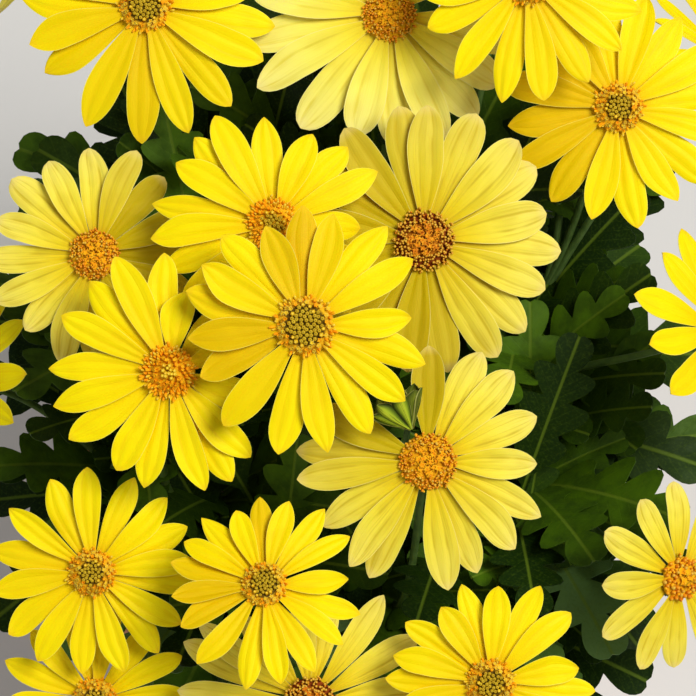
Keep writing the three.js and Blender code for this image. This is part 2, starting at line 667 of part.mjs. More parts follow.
// budSolid: a closed bud on a thin stalk
function budSolid(start, heading) {
  const place = (across, along, out) => FIELD_CENTRE.clone()
    .addScaledVector(FIELD_ACROSS, across)
    .addScaledVector(FIELD_ALONG, along)
    .addScaledVector(FIELD_OUT, out);
  const foot = place(BUD.across, BUD.along, BUD.out);
  const tip = place(BUD.tipAcross, BUD.tipAlong, BUD.tipOut);
  const axis = tip.clone().sub(foot).normalize();
  const span = start.distanceTo(foot);
  const curve = new THREE.CubicBezierCurve3(
    start,
    start.clone().addScaledVector(heading, 0.4 * span),
    place(BUD.across - 3, BUD.along + 3, BUD.out - 0.45 * span),
    foot,
  );
  const rings = [];
  for (let i = 0; i < STALK_STEPS; i += 1) {
    const share = i / STALK_STEPS;
    const direction = curve.getTangent(share);
    rings.push(ringAt(curve.getPoint(share), direction, FIELD_ACROSS, BUD_STALK_RADIUS, STALK_SIDES));
  }
  const profile = [[0, 0.35], [0.3, 1], [0.75, 0.85], [1, 0.2]];
  for (const [share, size] of profile) {
    rings.push(ringAt(foot.clone().lerp(tip, share), axis, FIELD_ACROSS, size * BUD_RADIUS, STALK_SIDES));
  }
  return toSolid(loft(rings));
}

// makeLeafyStem: woody stem, leaves, flower stalks and cups, grown as one
function makeLeafyStem(stem, index, heads) {
  const curves = branchCurves(stem);
  let plant = stemSolid(stem);
  for (const curve of curves.slice(1)) {
    plant = plant.add(branchSolid(curve));
  }
  for (const leaf of leafPlan(stem, index)) {
    plant = plant.add(leafSolid(leaf));
  }
  const used = curves.map(() => 0);
  for (const head of heads) {
    // A stalk grows from the branch whose tip stands nearest below its head.
    const reaches = curves.map((curve) => {
      const tip = curve.getPoint(1);
      return Math.hypot(tip.x - head.frame.centre.x, tip.y - head.frame.centre.y);
    });
    const branch = reaches.indexOf(Math.min(...reaches));
    const on = 0.99 - STALK_SPACING * used[branch];
    used[branch] += 1;
    const curve = curves[branch];
    plant = plant.add(stalkSolid(curve.getPoint(on), curve.getTangent(on), head.frame, head.disc));
  }
  if (index === BUD.stem) {
    plant = plant.add(budSolid(curves[0].getPoint(0.7), curves[0].getTangent(0.7)));
  }
  return toGeometry(plant);
}

const plant = new THREE.Group();

// addMesh: a named mesh in the plant
function addMesh(name, geometry, material, parent = plant) {
  const mesh = new THREE.Mesh(geometry, material);
  mesh.name = name;
  parent.add(mesh);
  return mesh;
}

addMesh('pot', makePot(), MATERIALS.clay);
addMesh('soil', makeSoil(), MATERIALS.soil);

const heads = [
  ...FIELD_HEADS.map((head) => ({ ...head, frame: fieldFrame(head) })),
  ...OUTER_HEADS.map((head, i) => (
    { ...head, frame: outerFrame(head), rays: evenRays(OUTER_RAYS, 20 * i) }
  )),
];

STEMS.forEach((stem, index) => {
  const own = heads.filter((head) => head.stem === index);
  addMesh(`leafy_stem_${index + 1}`, makeLeafyStem(stem, index, own), MATERIALS.green);
});

heads.forEach((head, i) => {
  const { centre, normal, right, up } = head.frame;
  const flower = new THREE.Group();
  flower.position.copy(centre);
  flower.setRotationFromMatrix(new THREE.Matrix4().makeBasis(right, up, normal));
  const name = `head_${String(i + 1).padStart(2, '0')}`;
  addMesh(`${name}_rays`, makeRays(head), head.pale ? MATERIALS.pale : MATERIALS.yellow, flower);
  addMesh(`${name}_disc`, makeDisc(head), MATERIALS.disc, flower);
  plant.add(flower);
});

export default plant;
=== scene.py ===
import math

import bmesh
import bpy
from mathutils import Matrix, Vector


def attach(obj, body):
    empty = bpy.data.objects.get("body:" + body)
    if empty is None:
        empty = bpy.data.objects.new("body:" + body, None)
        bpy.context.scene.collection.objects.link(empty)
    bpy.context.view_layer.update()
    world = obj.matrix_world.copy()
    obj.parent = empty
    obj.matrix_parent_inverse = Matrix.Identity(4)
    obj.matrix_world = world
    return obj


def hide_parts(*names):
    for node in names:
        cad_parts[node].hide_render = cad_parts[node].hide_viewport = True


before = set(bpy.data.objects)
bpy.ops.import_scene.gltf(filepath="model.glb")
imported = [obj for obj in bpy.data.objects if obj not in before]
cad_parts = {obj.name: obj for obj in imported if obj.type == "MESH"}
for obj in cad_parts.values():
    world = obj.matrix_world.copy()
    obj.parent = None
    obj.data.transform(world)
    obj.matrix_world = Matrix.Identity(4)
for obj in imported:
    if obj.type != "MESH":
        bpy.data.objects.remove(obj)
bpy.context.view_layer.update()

# Lengths here are millimetres, as in the part's source, and MM turns them into metres.
MM = 0.001

# Pot and soil
POT_HEIGHT = 130
POT_BASE_RADIUS = 50
POT_SHOULDER_RADIUS = 70
POT_RIM_RADIUS = 77
POT_RIM_HEIGHT = 26
POT_WALL = 5
POT_FLOOR = 7
POT_SIDES = 144
DRAIN_HOLES = 4
DRAIN_HOLE_RADIUS = 5
DRAIN_HOLE_CIRCLE = 28
SOIL_LEVEL = 112
SOIL_LUMP = 0.96
SOIL_FIT = 0.3
SOIL_SIDES = 96
SOIL_RINGS = 34
SOIL_CRUMBS = 420

# Leafy stems
STEM_DEPTH = 22
STEM_FOOT_RADIUS = 3
STEM_TIP_RADIUS = 1.6
SECTOR_MARGIN = 1.5
FORK = 0.3
BRANCH_RADIUS = 2
BRANCH_LEAN = 1.15
BRANCH_DROP = 12
BRANCH_SAG = 6
SHOOT_PLACES = [0.4, 0.68]
SHOOT_RADIUS = 1.5
SHOOT_TIP_RADIUS = 1.0

# Leaves
LEAF_PLACES = [0.48, 0.72, 0.92]
LEAF_LENGTHS = [62, 60, 54]
LEAF_SLOPES = [22, 38, 56]
LEAF_BEND = 38
LEAF_PICKS = [[0.1, -0.35, 0.35], [-1, 0.1, -0.7], [1, -0.1, 0.7]]
LEAF_TURN = 137.5
LEAF_COLUMNS = [-1, -0.62, -0.16, 0, 0.16, 0.62, 1]
LEAF_LOBE_REACH = [0.15, 0.2, 0.17]
LEAF_NOTCHES = [0.26, 0.45, 0.65, 0.84]
LEAF_LOBE_SWEEP = 0.11
LEAF_RIB = 0.024
CORE_LEAVES = 6
CORE_LEAF_LENGTH = 46

# Some of the leaves whose tips stand in front of this line are sage green.
SAGE_FRONT = -62
SAGE_SHARE = 0.3

# Leaves in spirals up the branches and the side shoots: their places, the turn from one curve to the
# next, the slope at the foot and how it grows, the ranges of bend and length, and how far out they go.
BRANCH_SPIRAL = ([0.42 + 0.56 * (i + 0.5) / 9 for i in range(9)], 60, (26, 42), (24, 46), (40, 56), 102)
SHOOT_SPIRAL = ([0.45 + 0.54 * i / 4 for i in range(5)], 77, (28, 36), (22, 44), (34, 48), 104)

# Leaves that close the open corners between the stems: stem, branch, place on it, heading, slope, length
FILL_LEAF_BEND = 30
FILL_LEAVES = [
    (0, 1, 0.62, -52, 22, 60), (0, 1, 0.8, -66, 34, 58), (0, 1, 0.95, -40, 40, 54),
    (4, 2, 0.6, -42, 24, 60), (4, 2, 0.82, -28, 32, 58), (4, 2, 0.97, -50, 44, 50),
    (0, 0, 0.7, -14, 24, 58), (2, 1, 0.85, 118, 34, 54), (2, 0, 0.9, 160, 38, 52),
    (0, 2, 0.7, 86, 28, 62), (0, 2, 0.85, 64, 26, 60), (0, 2, 0.97, 48, 32, 58),
    (0, 2, 0.6, 42, 16, 60), (1, 1, 0.8, 12, 22, 62), (1, 1, 0.95, 34, 30, 58),
    (2, 1, 0.7, 142, 20, 60), (2, 1, 0.92, 158, 28, 58), (2, 2, 0.8, 172, 24, 58),
    (1, 2, 0.9, 150, 18, 58), (1, 2, 0.97, 108, 28, 60), (2, 1, 0.96, 95, 24, 58),
    (2, 1, 0.86, 126, 26, 60), (2, 0, 0.96, 112, 24, 62), (1, 1, 0.9, 96, 24, 60),
    (1, 1, 0.98, 72, 26, 60), (0, 2, 0.9, 96, 34, 58), (2, 1, 0.92, 80, 20, 60),
]

# Flower stalks, cups and heads
STALK_RADIUS = 0.9
STALK_SPACING = 0.09
CUP_DEPTH = 8
CUP_TOP = -1.5
CUP_BRACTS = 13
RAY_LAYER = 1.3
RAY_ROWS = 15
RAY_COLUMNS = [-1, -0.9, -0.72, -0.56, -0.4, -0.24, -0.08, 0.08, 0.24, 0.4, 0.56, 0.72, 0.9, 1]
DISC_GAP = 0.5
FLORET_TURN = 137.508

# Rays: directions in degrees counterclockwise from the head's right, and shares of its radius.
RAYS_OPEN = [
    (31, 1.01), (52, 1.03), (73, 0.92), (93, 0.96), (112, 0.85), (132, 0.98), (152, 0.95), (166, 0.99),
    (187, 0.94), (204, 0.93), (232, 1.03), (259, 1.05), (279, 1.03), (302, 1.01), (323, 1), (343, 1.01),
    (2, 0.85),
]
RAYS_BESIDE_BUD = [
    (154, 0.98), (176.7, 1.05), (188, 1.05), (211, 0.99), (231, 1.04), (242.2, 1.04), (279, 1.04),
    (293.5, 0.98), (317.3, 0.98), (333.6, 1.01), (358.9, 0.87), (22.5, 0.94), (43.9, 0.99), (63.7, 0.97),
    (91.5, 0.92),
]
RAYS_FULL = [
    (11.6, 0.91), (32.4, 0.98), (45.9, 1), (67.9, 1), (91.2, 0.98), (102.7, 1), (125.7, 1), (148, 0.95),
    (172, 0.95), (196, 0.97), (222, 1), (243, 0.98), (262, 0.96), (281.6, 0.97), (303.9, 1),
    (319.3, 0.99), (338.1, 0.95), (356.7, 1),
]
RAYS_RAGGED = [
    (20, 0.8), (46.5, 0.66), (80, 0.68), (94.5, 0.98), (115, 1.05), (133, 1), (152, 1), (178, 1),
    (195, 1), (215, 1), (240, 0.92), (258, 0.98), (285, 1.02), (300, 1.04), (312, 0.97), (326, 0.6),
    (342, 0.8),
]
RAYS_LEANING = [
    (26.1, 0.98), (48.8, 0.9), (65.7, 0.82), (93.7, 0.9), (116.8, 1.03), (132.6, 0.98), (146, 0.96),
    (168.9, 1.03), (184.2, 1.03), (203, 1), (222, 1), (241, 0.98), (263, 0.95), (311, 0.98), (333, 0.9),
    (356.7, 0.73),
]
RAYS_ROUND = [
    (35, 0.97), (58, 1), (80, 0.98), (102, 1), (124, 1), (146, 0.98), (168, 1), (190, 1.04), (207, 1.06),
    (232, 1.01), (256, 0.88), (275, 0.94), (294, 0.96), (312, 0.95), (329, 0.92), (350, 0.95),
]
RAYS_LOOSE = [
    (8, 0.95), (30.6, 0.95), (56, 0.98), (80, 0.78), (98, 0.74), (130, 0.82), (146, 1.03), (157, 1.06),
    (176, 1.01), (198, 1), (220, 1), (243, 0.98), (266, 1), (290, 0.98), (315, 1), (341, 0.97),
]
RAYS_SIDE = [
    (6, 0.97), (26, 1), (43, 1), (67, 0.98), (92, 1), (117, 0.97), (142, 1), (166, 1), (190, 0.98),
    (214, 1), (238, 1), (262, 0.98), (286, 1), (310, 1), (329, 0.98), (354, 1),
]


def even_rays(count, first):
    """A full ring of rays at even steps from a first direction."""
    return [(first + 360 * i / count, 0.97 + 0.05 * math.sin(2.4 * i + first)) for i in range(count)]


# The heads' field: a plane that faces steeply up and to the front of the plant.
FIELD_CENTRE = Vector((0, -22, 262))
FIELD_PITCH = math.radians(66)
FIELD_ACROSS = Vector((1, 0, 0))
FIELD_ALONG = Vector((0, math.sin(FIELD_PITCH), math.cos(FIELD_PITCH)))
FIELD_OUT = Vector((0, -math.cos(FIELD_PITCH), math.sin(FIELD_PITCH)))
UP = Vector((0, 0, 1))

# Heads in the field: across, along, out, radius, disc radius, stem, rays, turn, lean, and whether
# the head has gone pale.
FIELD_HEADS = [
    (-46.7, 78.5, -14, 29.8, 6.3, 2, RAYS_OPEN, 10, 0, False),
    (9.5, 77.2, -18, 32.9, 6.5, 1, RAYS_ROUND, 0, 0, True),
    (40.1, 82.4, 0, 26.4, 6, 0, RAYS_OPEN, 0, 0, False),
    (62.1, 55.2, -14, 27.6, 6, 0, even_rays(16, 166), 0, 0, False),
    (-16.8, 27.7, 1, 26.8, 6, 5, RAYS_LEANING, 0, 0, False),
    (17.2, 24.3, -6, 31.3, 7.1, 5, RAYS_FULL, 0, 0, True),
    (-9.4, 4.9, 14, 27.4, 7, 5, RAYS_OPEN, 0, 0, False),
    (-39.7, -5.3, 5, 27, 6.3, 3, RAYS_RAGGED, 0, 0, False),
    (17.8, -25.3, 2, 28.1, 6.7, 4, RAYS_BESIDE_BUD, 0, 0, True),
    (-18.4, -52.4, 9.5, 21.8, 5.2, 4, RAYS_OPEN, 0, 22, False),
    (-58.2, -51, -8, 23.9, 5.6, 3, RAYS_SIDE, 0, 0, False),
    (-58.4, -81.2, -16, 22.7, 5.4, 3, even_rays(14, 28), 0, 0, False),
    (-8.6, -80.5, -8, 30.1, 6, 4, RAYS_LOOSE, 0, 0, True),
    (31.7, -74.7, 2, 23.6, 5.8, 4, RAYS_OPEN, 11, 0, False),
    (-58, 21.3, -12, 25.6, 6, 2, even_rays(16, 70), 0, 0, True),
]

# Heads on the plant's other sides: place, the way they face, radius, disc radius, stem, pale.
OUTER_RAYS = 12
OUTER_HEADS = [
    ((88, -6, 236), (0.62, -0.08, 0.78), 26, 6, 0, False),
    ((78, -60, 214), (0.5, -0.45, 0.74), 24, 5.6, 0, True),
    ((-94, -14, 226), (-0.64, -0.12, 0.76), 25, 5.8, 3, False),
    ((-66, 92, 250), (-0.42, 0.5, 0.76), 27, 6.2, 2, True),
    ((-12, 108, 258), (-0.05, 0.56, 0.83), 25, 5.8, 1, False),
    ((44, 104, 262), (0.2, 0.5, 0.84), 26, 6, 1, False),
    ((92, 58, 252), (0.6, 0.3, 0.74), 25, 5.8, 0, False),
]

# Painted shade: rays on the side of a head turned away from the light are a deeper gold: how much, and in
# which direction.
PAINTED_SHADE_SIDE = (0.4, 190)
PAINTED_SHADE_SIDES = {
    1: (0.5, 250), 2: (0, 0), 3: (0.2, 300), 4: (0.9, 180), 5: (0.35, 240), 8: (0, 0), 15: (2, 350),
}

# Painted shade: how deep a gold each ray of these heads is, deepest on rays turned from the light and under
# another head, in the order of its rays.
PAINTED_SHADE_RAYS = {
    6: [0.05, 0.1, 0.2, 0.3, 0.35, 0.4, 0.5, 0.9, 0.9, 1, 1, 1, 0.9, 0.6, 0.35, 0.2, 0.1, 0.05],
    7: [0, 0.05, 0.35, 0.85, 0.5, 0.05, 0.1, 0.35, 0.9, 0.85, 0.5, 0.15, 0.1, 0.1, 0, 0.1, 0],
    9: [0.7, 0.6, 0.4, 0.3, 0.25, 0.3, 0.1, 0.2, 0.15, 0.05, 0.1, 0, 0, 0.05, 0.95],
    10: [0.05, 0.1, 0.1, 0.75, 0.2, 0.3, 0.4, 0.55, 0.85, 0.8, 0.5, 0.3, 0.15, 0.1, 0.1, 0.05, 0.05],
}

# Heads with narrower rays, as a share of the usual width, and the head whose rays are a lighter cream: partly
# their own paler colour, partly painted light against the shadow the next head casts on them
NARROW_RAYS = {9: 0.94, 10: 0.92, 13: 0.8}
PAINTED_LIGHT_HEAD = 2

# Discs: the share that is still closed where few florets are, the young ones that are orange to the
# middle, and the old ones that have gone red-brown.
CLOSED_SHARES = {5: 0.42, 7: 0.62, 8: 0.0, 10: 0.56}
FIERY_DISCS = (5, 8)
RUDDY_DISCS = (6, 13)

# Leafy stems: the middle of the sector and half its width in degrees, where the foot stands, how
# far the tip leans out, how high it is, and how wide the side branches fan.
STEMS = [
    (1.5, 46, 15, 46, 186, 26),
    (80, 31.5, 17, 52, 208, 17),
    (147.5, 35, 15, 48, 204, 20),
    (216.5, 33, 16, 48, 180, 18),
    (282.5, 32, 17, 50, 166, 18),
    (60, 180, 1, 2, 202, 0),
]

# The bud's foot and tip in the heads' field: across, along, out.
BUD_STEM = 4
BUD_FOOT = (13.7, -17.4, 7.5)
BUD_TIP = (9.4, -9.9, 9.2)
BUD_RADIUS = 3
BUD_SPREAD = math.radians(45)
BUD_FLATNESS = 0.45

# The places of the materials on the discs and on the leafy stems
GROUND, CLOSED, OPENING, OPEN, RIPE, POLLEN = range(6)
LEAF_TOP, LEAF_UNDER, STALKS, CUPS, WOOD, BUDS = range(6)


class Dice:
    """Numbers that look random and are the same in each run."""

    span = 2 ** 32

    def __init__(self, seed):
        self.state = (seed * 7919 + 104729) % self.span
        for _ in range(5):
            self.share()

    def share(self):
        self.state = (self.state * 1664525 + 1013904223) % self.span
        return self.state / self.span

    def between(self, low, high):
        return low + (high - low) * self.share()


def clamp(value, low, high):
    return max(low, min(high, value))


def smooth(value):
    """0 below 0, 1 above 1, and a soft step between."""
    value = clamp(value, 0, 1)
    return value * value * (3 - 2 * value)


def polar(radius, angle, height=0.0):
    """A place from its distance and direction from the upright axis, and its height."""
    return Vector((radius * math.cos(angle), radius * math.sin(angle), height))


def field_place(across, along, out):
    return FIELD_CENTRE + FIELD_ACROSS * across + FIELD_ALONG * along + FIELD_OUT * out


def ring(centre, axis, side, radius, sides, bulge=0.0, lobes=0, phase=0.0):
    """Places round a centre, in the plane across a direction, with optional lobes."""
    u = (side - axis * side.dot(axis)).normalized()
    v = axis.cross(u)
    places = []
    for i in range(sides):
        a = 2 * math.pi * i / sides
        r = radius * (1 + bulge * math.cos(lobes * a + phase))
        places.append(centre + u * (r * math.cos(a)) + v * (r * math.sin(a)))
    return places


def stack(foot, axis, side, height, radius, profile, sides, bulge=0.0, lobes=0, phase=0.0):
    """Rings up an axis, from pairs of shares of a height and a radius."""
    rings = []
    for level, share in profile:
        middle = foot + axis * (height * level)
        rings.append(ring(middle, axis, side, radius * share, sides, bulge, lobes, phase))
    return rings


class Bezier:
    """A smooth curve through its control points."""

    def __init__(self, *points):
        self.points = points

    def at(self, t):
        points = list(self.points)
        while len(points) > 1:
            points = [a.lerp(b, t) for a, b in zip(points, points[1:])]
        return points[0]

    def way(self, t):
        low = max(0.0, t - 0.001)
        high = min(1.0, t + 0.001)
        return (self.at(high) - self.at(low)).normalized()

    def rod(self, side, radii, sides, bulge, lobes, twist=0.0):
        """Rings along the curve, one for each radius."""
        rings = []
        for i, radius in enumerate(radii):
            t = i / (len(radii) - 1)
            rings.append(ring(self.at(t), self.way(t), side, radius, sides, bulge, lobes, twist * t))
        return rings


class Shape:
    """Points and faces of one piece, with each point's place on its petal, leaf or stalk."""

    def __init__(self):
        self.points = []
        self.faces = []
        self.looks = []
        self.places = []
        self.tones = []

    def point(self, place, u=0.0, v=0.0, tone=0.5):
        self.points.append((place[0] * MM, place[1] * MM, place[2] * MM))
        self.places.append((u, v))
        self.tones.append(tone)
        return len(self.points) - 1

    def row(self, places, u, tone=0.5):
        """Points all round a petal, leaf or stalk, at a share of its length."""
        return [self.point(place, u, i / len(places), tone) for i, place in enumerate(places)]

    def face(self, corners, look=0):
        self.faces.append(tuple(corners))
        self.looks.append(look)

    def bands(self, rows, look=0, closed=True):
        """Faces between each row of points and the next."""
        for a, b in zip(rows, rows[1:]):
            for i in range(len(a) if closed else len(a) - 1):
                j = (i + 1) % len(a)
                self.face((a[i], a[j], b[j], b[i]), look)

    def solid(self, rows, look=0):
        """A closed body through rows of points."""
        self.bands(rows, look)
        self.face(rows[0][::-1], look)
        self.face(rows[-1], look)

    def tube(self, rings, look=0, tone=0.5):
        """A closed body through rings of places."""
        last = len(rings) - 1
        self.solid([self.row(places, r / last, tone) for r, places in enumerate(rings)], look)

    def blade(self, rows, tone, look=0, under=0):
        """A thin closed body from rows of places on its upper and lower side, with their u and v."""
        tops = [[self.point(top, u, v, tone) for top, _, u, v in row] for row in rows]
        lows = [[self.point(low, u, v, tone) for _, low, u, v in row] for row in rows]
        self.bands(tops, look, False)
        self.bands(lows[::-1], under, False)
        left = [[row[0] for row in side] for side in (lows, tops)]
        right = [[row[-1] for row in side] for side in (tops, lows)]
        for edge in (left, right, [lows[0], tops[0]], [tops[-1], lows[-1]]):
            self.bands(edge, look, False)

    def build(self, name, materials, crease=None):
        mesh = bpy.data.meshes.new(name)
        mesh.from_pydata(self.points, [], self.faces)
        for material in materials:
            mesh.materials.append(material)
        mesh.polygons.foreach_set("material_index", self.looks)
        mesh.polygons.foreach_set("use_smooth", [True] * len(self.faces))
        corners = [0] * len(mesh.loops)
        mesh.loops.foreach_get("vertex_index", corners)
        flat = []
        for corner in corners:
            flat.extend(self.places[corner])
        mesh.uv_layers.new(name="UVMap").data.foreach_set("uv", flat)
        mesh.attributes.new("tone", "FLOAT", "POINT").data.foreach_set("value", self.tones)
        work = bmesh.new()
        work.from_mesh(mesh)
        bmesh.ops.recalc_face_normals(work, faces=work.faces)
        work.to_mesh(mesh)
        work.free()
        if crease is not None:
            mesh.set_sharp_from_angle(angle=math.radians(crease))
        piece = bpy.data.objects.new(name, mesh)
        bpy.context.scene.collection.objects.link(piece)
        return piece


class Paint:
    """A material on one Principled shader, with short ways to add nodes."""

    def __init__(self, name, specular, roughness=0.5):
        self.material = bpy.data.materials.new(name)
        self.material.use_nodes = True
        self.tree = self.material.node_tree
        self.shader = self.tree.nodes["Principled BSDF"]
        self.shader.inputs["Roughness"].default_value = roughness
        self.shader.inputs["Specular IOR Level"].default_value = specular
        self.base = None

    def put(self, socket, value):
        """Link an output to a socket, or set its colour or its number."""
        if hasattr(value, "is_output"):
            self.tree.links.new(value, socket)
        elif isinstance(value, tuple):
            socket.default_value = (*value, 1)
        else:
            socket.default_value = value

    def node(self, kind, inputs, **settings):
        """A new node with its settings and what goes into it."""
        work = self.tree.nodes.new(kind)
        for name, value in settings.items():
            setattr(work, name, value)
        for socket, value in inputs.items():
            self.put(work.inputs[socket], value)
        return work

    def split(self, place):
        return self.node("ShaderNodeSeparateXYZ", {0: place}).outputs

    def across(self):
        """How far along (0 to 1) and across (0 to 1) a petal or leaf."""
        parts = self.split(self.node("ShaderNodeTexCoord", {}).outputs["UV"])
        return parts["X"], parts["Y"]

    def place(self):
        return self.node("ShaderNodeTexCoord", {}).outputs["Object"]

    def tone(self):
        return self.node("ShaderNodeAttribute", {}, attribute_name="tone").outputs["Fac"]

    def math(self, kind, a, b=0.5):
        return self.node("ShaderNodeMath", {0: a, 1: b}, operation=kind).outputs[0]

    def plus(self, a, b):
        return self.math("ADD", a, b)

    def minus(self, a, b):
        return self.math("SUBTRACT", a, b)

    def times(self, a, b):
        return self.math("MULTIPLY", a, b)

    def gap(self, a, b):
        return self.math("ABSOLUTE", self.minus(a, b))

    def join(self, x, y, z):
        return self.node("ShaderNodeCombineXYZ", {0: x, 1: y, 2: z}).outputs[0]

    def stretch(self, v, across, u, along, own):
        """A place for noise that runs in streaks along a petal or stalk."""
        return self.join(self.times(v, across), self.times(u, along), own)

    def noise(self, place, scale, detail, roughness=0.5):
        inputs = {"Vector": place, "Scale": scale, "Detail": detail, "Roughness": roughness}
        return self.node("ShaderNodeTexNoise", inputs).outputs["Fac"]

    def cells(self, place, scale):
        return self.node("ShaderNodeTexVoronoi", {"Vector": place, "Scale": scale}).outputs["Distance"]

    def step(self, value, low, high, to_low=0.0, to_high=1.0):
        inputs = {"Value": value, "From Min": low, "From Max": high, "To Min": to_low, "To Max": to_high}
        return self.node("ShaderNodeMapRange", inputs, interpolation_type="SMOOTHSTEP").outputs["Result"]

    def ramp(self, value, stops):
        work = self.node("ShaderNodeValToRGB", {"Fac": value})
        band = work.color_ramp
        while len(band.elements) < len(stops):
            band.elements.new(1.0)
        for element, (place, colour) in zip(band.elements, stops):
            element.position = place
            element.color = (*colour, 1)
        return work.outputs["Color"]

    def mix(self, share, a, b):
        return self.node("ShaderNodeMix", {"Factor": share, 6: a, 7: b}, data_type="RGBA").outputs[2]

    def cover(self, colour, share):
        """Lay a colour over what is there, as thick as the share says."""
        self.base = self.mix(share, self.base, colour)

    def lay(self, colour, value, low, high, most=1.0):
        """Lay a colour over what is there, thicker as a value goes from low to high."""
        self.cover(colour, self.step(value, low, high, 0.0, most))

    def rough(self, value, low, high, to_low, to_high):
        self.put(self.shader.inputs["Roughness"], self.step(value, low, high, to_low, to_high))

    def soft(self, weight, radius, scale):
        self.shader.inputs["Subsurface Weight"].default_value = weight
        self.shader.inputs["Subsurface Radius"].default_value = radius
        self.shader.inputs["Subsurface Scale"].default_value = scale

    def done(self, height, strength, distance):
        """Put the colour and the relief on the shader, and give the material."""
        self.put(self.shader.inputs["Base Color"], self.base)
        bump = self.node("ShaderNodeBump", {"Strength": strength, "Distance": distance, "Height": height})
        self.put(self.shader.inputs["Normal"], bump.outputs["Normal"])
        return self.material


# How far along a ray its four colours stand
RAY_STOPS = (0.0, 0.2, 0.55, 1.0)

# Spreads the streaks of one ray away from those of the next
OWN_STREAKS = 41.0


def paint_ray(name, along, vein, edge, tip, deep, vein_share, tip_from, rim_highlight_share):
    """A petal: colour along its length, soft lengthwise veins, a deeper gold by its tone that is partly
    random and partly painted shade, painted shade in its two grooves, a painted highlight along its thin edge
    and a tinted tip.
    """
    paint = Paint(name, 0.09)
    u, v = paint.across()
    tone = paint.tone()
    own = paint.times(tone, OWN_STREAKS)
    streak = paint.noise(paint.stretch(v, 17.0, u, 1.4, own), 1.0, 2.0)
    hair = paint.noise(paint.stretch(v, 52.0, u, 3.0, own), 1.0, 1.0)
    cloud = paint.noise(paint.stretch(v, 2.2, u, 3.0, own), 1.0, 1.0)
    rim = paint.gap(v, 0.5)
    crease = paint.gap(rim, 0.19)
    fold = paint.times(paint.step(crease, 0.0, 0.045), paint.step(cloud, 0.6, 0.35))
    # Painted shade: a darker line along each groove, where the relief has no crease.
    groove_shade = paint.times(paint.step(crease, 0.0, 0.06, 1.6 * vein_share, 0.0), paint.step(cloud, 0.35, 0.6))
    paint.base = paint.ramp(u, list(zip(RAY_STOPS, along)))
    # Painted shade: a deeper gold where the tone is high, on rays turned from the light; a low tone only
    # varies the ray at random.
    paint.lay(deep, tone, 0.15, 1.0, 0.92)
    paint.lay(vein, streak, 0.5, 0.75, vein_share)
    paint.lay(vein, hair, 0.52, 0.78, 0.4 * vein_share)
    paint.lay(vein, cloud, 0.45, 0.75, 0.3)
    # Painted shade in the two grooves.
    paint.cover(vein, groove_shade)
    paint.lay(tip, u, tip_from, 1.0, 0.6)
    # Painted highlight: a light thin line along the rim, where light catches the petal's edge.
    paint.lay(edge, rim, 0.476, 0.494, rim_highlight_share)
    paint.rough(streak, 0.2, 0.8, 0.46, 0.62)
    paint.soft(0.18, (1.0, 0.62, 0.08), 0.0012)
    relief = paint.plus(paint.plus(streak, paint.times(hair, 0.4)), paint.times(fold, 0.8))
    return paint.done(relief, 0.34, 0.0002)


def paint_floret(name, low, high, dark, crown, foot, top, roughness=0.6):
    """A floret or its ground: mottled, with a darker foot that is painted shade down among the florets, and a
    crown of another colour.
    """
    paint = Paint(name, 0.09)
    u = paint.across()[0]
    mottle = paint.noise(paint.place(), 900.0, 3.0)
    grain = paint.noise(paint.place(), 4200.0, 2.0)
    paint.base = paint.mix(paint.step(mottle, 0.3, 0.7), low, high)
    paint.lay(low, paint.tone(), 0.0, 1.0, 0.5)
    # Painted shade: the foot darkens where it stands down among the other florets.
    paint.cover(dark, paint.step(u, *foot, 0.0))
    paint.lay(crown, u, *top)
    paint.rough(grain, 0.3, 0.7, roughness - 0.1, roughness + 0.15)
    paint.soft(0.1, (1.0, 0.5, 0.1), 0.0006)
    return paint.done(grain, 0.35, 0.00008)


def paint_leaf(name, deep, fresh, rib, bloom, sage):
    """A leaf blade: midrib, side veins, mottled green with a grey bloom."""
    paint = Paint(name, 0.14)
    u, v = paint.across()
    tone = paint.tone()
    side = paint.gap(v, 0.5)
    mottle = paint.noise(paint.place(), 170.0, 4.0, 0.6)
    grain = paint.noise(paint.place(), 1500.0, 3.0, 0.6)
    bent = paint.plus(paint.minus(u, paint.times(side, 0.22)), paint.times(mottle, 0.02))
    wave = paint.math("FRACT", paint.times(bent, 15.0))
    vein = paint.step(paint.gap(wave, 0.5), 0.0, 0.09, 1.0, 0.0)
    vein = paint.times(vein, paint.step(grain, 0.35, 0.6, 0.3, 1.0))
    middle = paint.step(side, 0.008, 0.03, 1.0, 0.0)
    paint.base = paint.mix(tone, deep, fresh)
    paint.lay(deep, mottle, 0.35, 0.7, 0.55)
    paint.lay(sage, tone, 0.82, 1.0)
    paint.lay(bloom, grain, 0.45, 0.75, 0.3)
    paint.cover(rib, paint.times(vein, 0.1))
    paint.cover(rib, paint.times(middle, 0.6))
    paint.rough(mottle, 0.3, 0.7, 0.46, 0.66)
    relief = paint.minus(paint.times(grain, 0.35), paint.times(vein, 0.25))
    return paint.done(paint.minus(relief, paint.times(middle, 0.6)), 0.5, 0.0003)


